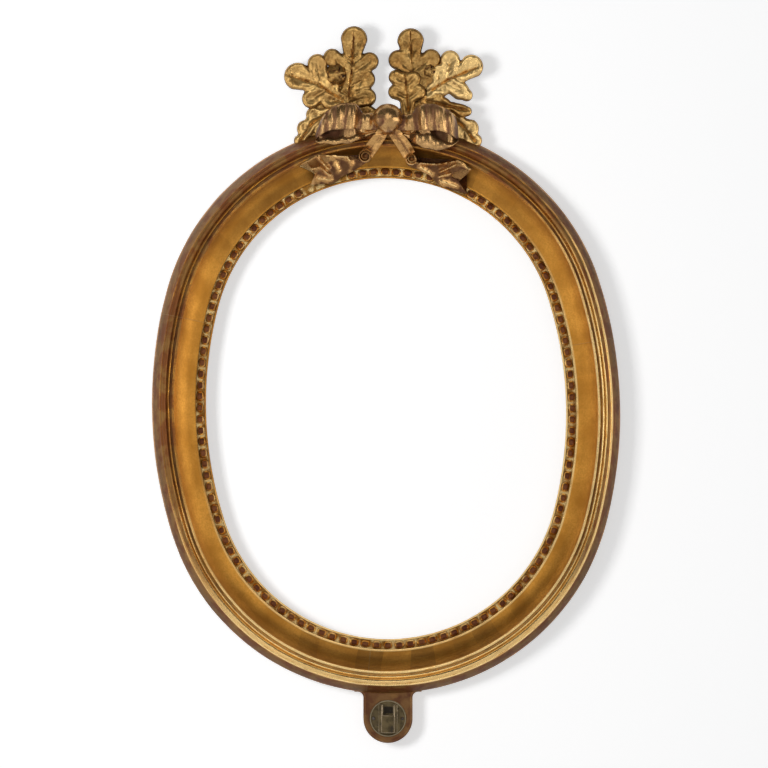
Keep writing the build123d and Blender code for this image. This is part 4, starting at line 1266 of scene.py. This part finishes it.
def turned(name, line, x, z, steps=48, uneven=None):  # radii and heights, turned
    places = np.linspace(0, 1, len(line))
    radii = [point[0] for point in line]
    heights = [point[1] for point in line]

    def surface(s, t):
        away, height = np.interp(s, places, radii), np.interp(s, places, heights)
        around = 2 * math.pi * t
        dx, dz = away * math.cos(around), away * math.sin(around)
        shift, shade = uneven(dx, dz, height) if uneven else (0.0, 0.0)
        return x + dx, height + shift, z + dz, shade

    return sheetOf(name, (len(line) - 1) * 6, steps, surface, base=0)


def plain(name, look, hollowed=False):  # worn metal or wood with dirt, patches and fine scratches, and painted shade where it is hollowed
    finish = Finish(name)
    patches = finish.grain(look["patchScale"], 5.0)
    fine = finish.grain(look["fineScale"], 3.0, roughness=0.7)
    colour = finish.mix(finish.step(patches, 0.38, 0.64), look["light"], look["dark"])
    spots = finish.step(finish.grain(look["spotScale"], 3.0), 0.56, 0.7)
    colour = finish.mix(spots * look["spots"], colour, look["spot"])
    if hollowed:  # painted shade where it is sunk, and bare metal where it stands up
        colour = finish.mix(finish.step(finish.read("hollow"), 0, 1), colour, look["spot"])
        colour = finish.mix(finish.step(0 - finish.read("hollow"), 0, 1), colour, look["worn"])
    return finish.feed(
        Base_Color=colour,
        Metallic=look["metal"] * (1 - spots * 0.5),
        Roughness=look["rough"] + (patches - 0.5) * 0.3 + (fine - 0.5) * 0.2,
        Normal=finish.bump(fine * 0.6 + patches * 1.5, look["bump"]),
        Specular_IOR_Level=0.35,
    )


wornBole = plain("wornBole", {
    "light": (0.21, 0.1, 0.03), "dark": (0.12, 0.04, 0.013), "spot": (0.36, 0.18, 0.045), "spots": 0.55,
    "patchScale": 85, "fineScale": 700, "spotScale": 46, "metal": 0.4, "rough": 0.42, "bump": 0.25,
})
rubbedBole = plain("rubbedBole", {
    "light": (0.44, 0.2, 0.05), "dark": (0.22, 0.085, 0.024), "spot": (0.8, 0.46, 0.13), "spots": 0.9,
    "patchScale": 60, "fineScale": 700, "spotScale": 46, "metal": 0.5, "rough": 0.34, "bump": 0.2,
})
dullBrass = plain("dullBrass", {
    "light": (0.15, 0.11, 0.052), "dark": (0.075, 0.054, 0.026), "spot": (0.022, 0.016, 0.01),
    "worn": (0.34, 0.27, 0.17), "spots": 0.6, "patchScale": 140, "fineScale": 1100, "spotScale": 240,
    "metal": 0.75, "rough": 0.42, "bump": 0.12,
}, hollowed=True)
rubbedBrass = plain("rubbedBrass", {
    "light": (0.44, 0.34, 0.22), "dark": (0.2, 0.15, 0.085), "spot": (0.06, 0.045, 0.025), "spots": 0.5,
    "patchScale": 190, "fineScale": 1100, "spotScale": 240, "metal": 0.8, "rough": 0.3, "bump": 0.08,
})
hangerBrass = plain("hangerBrass", {
    "light": (0.52, 0.34, 0.13), "dark": (0.33, 0.2, 0.07), "spot": (0.12, 0.075, 0.035), "spots": 0.7,
    "patchScale": 120, "fineScale": 900, "spotScale": 210, "metal": 0.95, "rough": 0.36, "bump": 0.08,
})
iron = plain("iron", {
    "light": (0.16, 0.14, 0.12), "dark": (0.08, 0.068, 0.06), "spot": (0.13, 0.05, 0.02), "spots": 0.8,
    "patchScale": 260, "fineScale": 1500, "spotScale": 420, "metal": 0.9, "rough": 0.46, "bump": 0.1,
})

tongue = copyOf("foot_tongue", "footTongueCarved", [wornBole, rubbedBole], foot["edge"], 20)
mount(tongue, "foot_tongue")


def plateDents(dx, dz, height):  # the front is dented, with a nail hole; painted shade in the hole and in the sleeve's mouth
    seat = socket["seat"]
    if height <= seat + 1:
        return 0.0, 0.0
    x, z, radius = socket["hole"]
    hole = max(0.0, 1 - math.hypot(dx - x, dz - z) / radius)
    bumps = socket["dents"] * noise.noise(Vector((dx, dz, 0)) * 0.22)
    rim = max(0.0, 1 - abs(math.hypot(dx, dz) - socket["radius"] + 0.7) / 0.9)
    mouth = unit(4.6 - abs(dx - socket["mouth"][0])) * unit(3.6 - abs(dz - socket["mouth"][1]))
    return bumps - 1.1 * hole**0.5, max(0.9 * mouth, min(1.0, 1.6 * hole)) - 0.8 * rim


edge, seat = socket["radius"], socket["seat"]
plateLine = [
    (0.02, seat), (edge - 0.3, seat), (edge, seat + 0.3), (edge, seat + 1.2), (edge - 0.2, seat + 1.6),
    (edge - 0.7, seat + 1.75), (edge - 1.3, seat + 1.7), (edge - 1.8, seat + 1.4), (8, seat + 1.35),
    (0.02, seat + 1.35),
]
plate = turned("socketPlateBeaten", plateLine, foot["x"], foot["level"], 120, plateDents)
complete(plate, 40, dullBrass, "socket_plate")

nailLine = [
    (0.02, 5.5), (0.75, 5.5), (0.8, 13.3), (1.5, 13.4), (1.55, 13.7), (1.2, 14.2), (0.6, 14.45),
    (0.02, 14.5),
]
nailPlaces = [foot["x"] + hand * socket["nailOffset"] for hand in (-1, 1)]
nails = [turned("nail", nailLine, x, foot["level"], 20) for x in nailPlaces]
complete(joined("socketNailsBeaten", nails), 40, iron, "socket_nails")

sleeve = copyOf("socket_sleeve", "socketSleeveBent", [dullBrass, rubbedBrass], 0.45, 40)
mount(sleeve, "socket_sleeve")

# Back ring, hanger and turn buttons

backWork = {
    "rebate": 6.0, "edge": 0.9, "step": 4.0, "joints": {"top": 45, "left": 135, "bottom": 225, "right": 315},
}


def woodOf(name):
    finish = Finish(name)
    rings = alongRail(finish, 55, 2.2)
    fibre = alongRail(finish, 22, 0.35)
    stain = finish.grain(18, 4.0)
    colour = finish.mix(finish.step(rings, 0.36, 0.66), (0.30, 0.19, 0.10), (0.185, 0.105, 0.052))
    colour = finish.mix(finish.step(stain, 0.5, 0.72) * 0.55, colour, (0.085, 0.05, 0.028))
    joints = jointLines(finish, backWork["joints"].values())
    colour = finish.mix(joints * 0.8, colour, (0.02, 0.012, 0.007))
    return finish.feed(
        Base_Color=colour,
        Roughness=0.66 + (fibre - 0.5) * 0.3,
        Normal=finish.bump(fibre + rings * 0.6 - joints, 0.25),
        Specular_IOR_Level=0.35,
    )


bareWood = woodOf("bareWood")
left, right, front = backWork["rebate"], oval["mouldingWidth"], section["backLayer"]
backCorners = [(left + 4, 0.0), (left, 0.0), (left, front), (right, front), (right, 0.0), (left + 8, 0.0)]
backLine = softened(backCorners, backWork["edge"])
for side, first in backWork["joints"].items():
    ring = spun(f"backRingSawn.{side}", backLine, first, first + 90, backWork["step"])
    closeUp(ring)
    complete(ring, 30, bareWood, f"back_ring_{side}")
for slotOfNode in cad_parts["crest_dowels"].material_slots:
    slotOfNode.material = bareWood

mount(copyOf("hanger_plate", "hangerPlateBent", [hangerBrass], 0.3, 40), "hanger_plate")
mount(copyOf("hanger_ring", "hangerRingBent", [hangerBrass]), "hanger_ring", "hanger_ring")
for side in ("upper_right", "upper_left", "lower_left", "lower_right"):
    button = f"turn_button_{side}"
    mount(copyOf(button, f"turnButtonCut.{side}", [hangerBrass], 0.25, 40), button, button)

screw = {
    "rise": 1.1, "slotWidth": 0.6, "slotDepth": 0.55, "slotLength": 7.0, "hangerSeat": 1.2,
    "buttonSeat": 1.6,
    "hanger": [(0.0, 6.0), (0.0, 11.6)], "buttons": (32, 148, 212, 328), "setback": 9.0,
}


def slottedScrew(name, x, z, seat, turn):  # a domed head with its slot, on the back
    line = [(0.02, 6.0), (1.25, 6.0), (1.3, -seat), (2.6, -seat), (2.7, -seat - 0.25)]
    line += [(2.3, -seat - 0.75), (1.3, -seat - 1.05), (0.02, -seat - screw["rise"])]
    piece = turned(name, line, x, z, 32)
    cutter = start("cutter", bpy.ops.mesh.primitive_cube_add, size=1)
    for vertex in editing(cutter).verts:
        side, deep, long = vertex.co
        place = Vector((side * screw["slotWidth"], long * screw["slotLength"]))
        place.rotate(Matrix.Rotation(turn, 2))
        vertex.co = at(x + place.x, -seat - screw["rise"] + screw["slotDepth"] * deep * 2, z + place.y)
    closeUp(cutter)
    finishWith(piece, "BOOLEAN", object=cutter, operation="DIFFERENCE")
    bpy.data.objects.remove(cutter)
    return piece


def backScrews(name, node, places, seat):
    heads = []
    for index, (x, z) in enumerate(places):
        heads.append(slottedScrew(f"screw{index}", x, z, seat, 0.5 + 1.9 * index))
    complete(joined(name, heads), 35, iron, node)


def buttonPlace(direction):
    centreX, centreZ, radius, first, _ = arcsBetween(direction, direction + 1)[0]
    reach = radius - oval["mouldingWidth"] + backWork["rebate"] + screw["setback"]
    return centreX + reach * math.cos(math.radians(first)), centreZ + reach * math.sin(math.radians(first))


buttonPlaces = [buttonPlace(direction) for direction in screw["buttons"]]
backScrews("hangerScrewsSlotted", "hanger_screws", screw["hanger"], screw["hangerSeat"])
backScrews("buttonScrewsSlotted", "button_screws", buttonPlaces, screw["buttonSeat"])

# Stage, light and camera

studio = {
    "imageWidth": 675.8, "cameraX": -1.8, "cameraZ": -210.0, "distance": 6000.0, "pictureDepth": 20.0,
    "wallBehind": 12.0, "floorBelow": 0.62, "size": 9, "grey": (0.8, 0.8, 0.8, 1), "wallLift": 0.7,
    "roomFront": 0.66, "roomSides": 0.08,
}


def stagePiece(name, place, turn):
    bpy.ops.object.select_all(action="DESELECT")
    bpy.ops.mesh.primitive_plane_add(size=studio["size"], location=place, rotation=turn)
    plane = bpy.context.object
    plane.name = name
    material = bpy.data.materials.new(name)
    material.use_nodes = True
    tree = material.node_tree
    tree.nodes.clear()
    shade = addNode(tree, "ShaderNodeBsdfDiffuse", {}, {"Color": studio["grey"]})
    glow = addNode(tree, "ShaderNodeEmission", {}, {"Color": studio["grey"],
            "Strength": studio["wallLift"]})
    seen = addNode(tree, "ShaderNodeAddShader", {}, {0: shade, 1: glow})
    clear = addNode(tree, "ShaderNodeBsdfTransparent", {}, {})
    rays = ("Is Camera Ray", "Is Glossy Ray", "Is Transmission Ray")
    direct, glossy, through = (addNode(tree, "ShaderNodeLightPath", {}, {}, ray) for ray in rays)
    back = addNode(tree, "ShaderNodeNewGeometry", {}, {}, "Backfacing")
    shown = (direct + glossy + through) * (1 - back)
    surface = addNode(tree, "ShaderNodeMixShader", {}, {0: shown, 1: clear, 2: seen})
    output = tree.nodes.new("ShaderNodeOutputMaterial")
    tree.links.new(surface.socket, output.inputs["Surface"])
    plane.data.materials.append(material)


stagePiece("wall", (0, studio["wallBehind"] * mm, -0.2), (math.radians(90), 0, 0))
stagePiece("floor", (0, 0, -studio["floorBelow"]), (0, 0, 0))

# the key throws the shadow, and the cards give the gilding something to shine with
lamps = [
    ("keyLamp", (-0.9, -1.9, -0.1), 0.45, 0.45, 19.0, "diffuse"),
    ("rightCard", (1.5, -0.5, -0.2), 1.8, 0.5, 8.5, "glossy"),
    ("leftCard", (-1.5, -0.5, -0.25), 1.8, 0.5, 4.0, "glossy"),
    ("topCard", (0.1, -1.65, 0.46), 1.4, 0.75, 5.5, "glossy"),
    ("backLamp", (-0.8, 1.6, 0.8), 0.9, 0.9, 14.0, "both"),
]
for name, place, wide, tall, power, work in lamps:
    bpy.ops.object.light_add(type="AREA", location=place)
    lamp = bpy.context.object
    lamp.name = name
    lamp.data.shape = "RECTANGLE"
    lamp.data.energy = power
    lamp.data.size = wide
    lamp.data.size_y = tall
    aim = Vector((0, 0, -0.21)) - Vector(place)
    lamp.rotation_euler = aim.to_track_quat("-Z", "Y").to_euler()
    lamp.visible_glossy = work != "diffuse"
    lamp.visible_diffuse = work != "glossy"

world = bpy.data.worlds.new("studio")
scene.world = world
world.use_nodes = True
background = world.node_tree.nodes["Background"]
background.inputs["Color"].default_value = (0.98, 0.99, 1.0, 1)
heading = addNode(world.node_tree, "ShaderNodeTexCoord", {}, {}, "Generated")
ahead = addNode(world.node_tree, "ShaderNodeSeparateXYZ", {}, {0: heading}, "Y")
span = {"Value": ahead, "From Min": -1.0, "From Max": -0.8}
span.update({"To Min": studio["roomFront"], "To Max": studio["roomSides"]})
level = addNode(world.node_tree, "ShaderNodeMapRange", {"interpolation_type": "SMOOTHSTEP"}, span, "Result")
world.node_tree.links.new(level.socket, background.inputs["Strength"])

stand = at(studio["cameraX"], studio["distance"], studio["cameraZ"])
bpy.ops.object.camera_add(location=stand, rotation=(math.radians(90), 0, 0))
camera = bpy.context.object
camera.name = "camera"
reach = studio["distance"] - studio["pictureDepth"]
camera.data.lens = camera.data.sensor_width * reach / studio["imageWidth"]
camera.data.clip_end = 50
scene.camera = camera
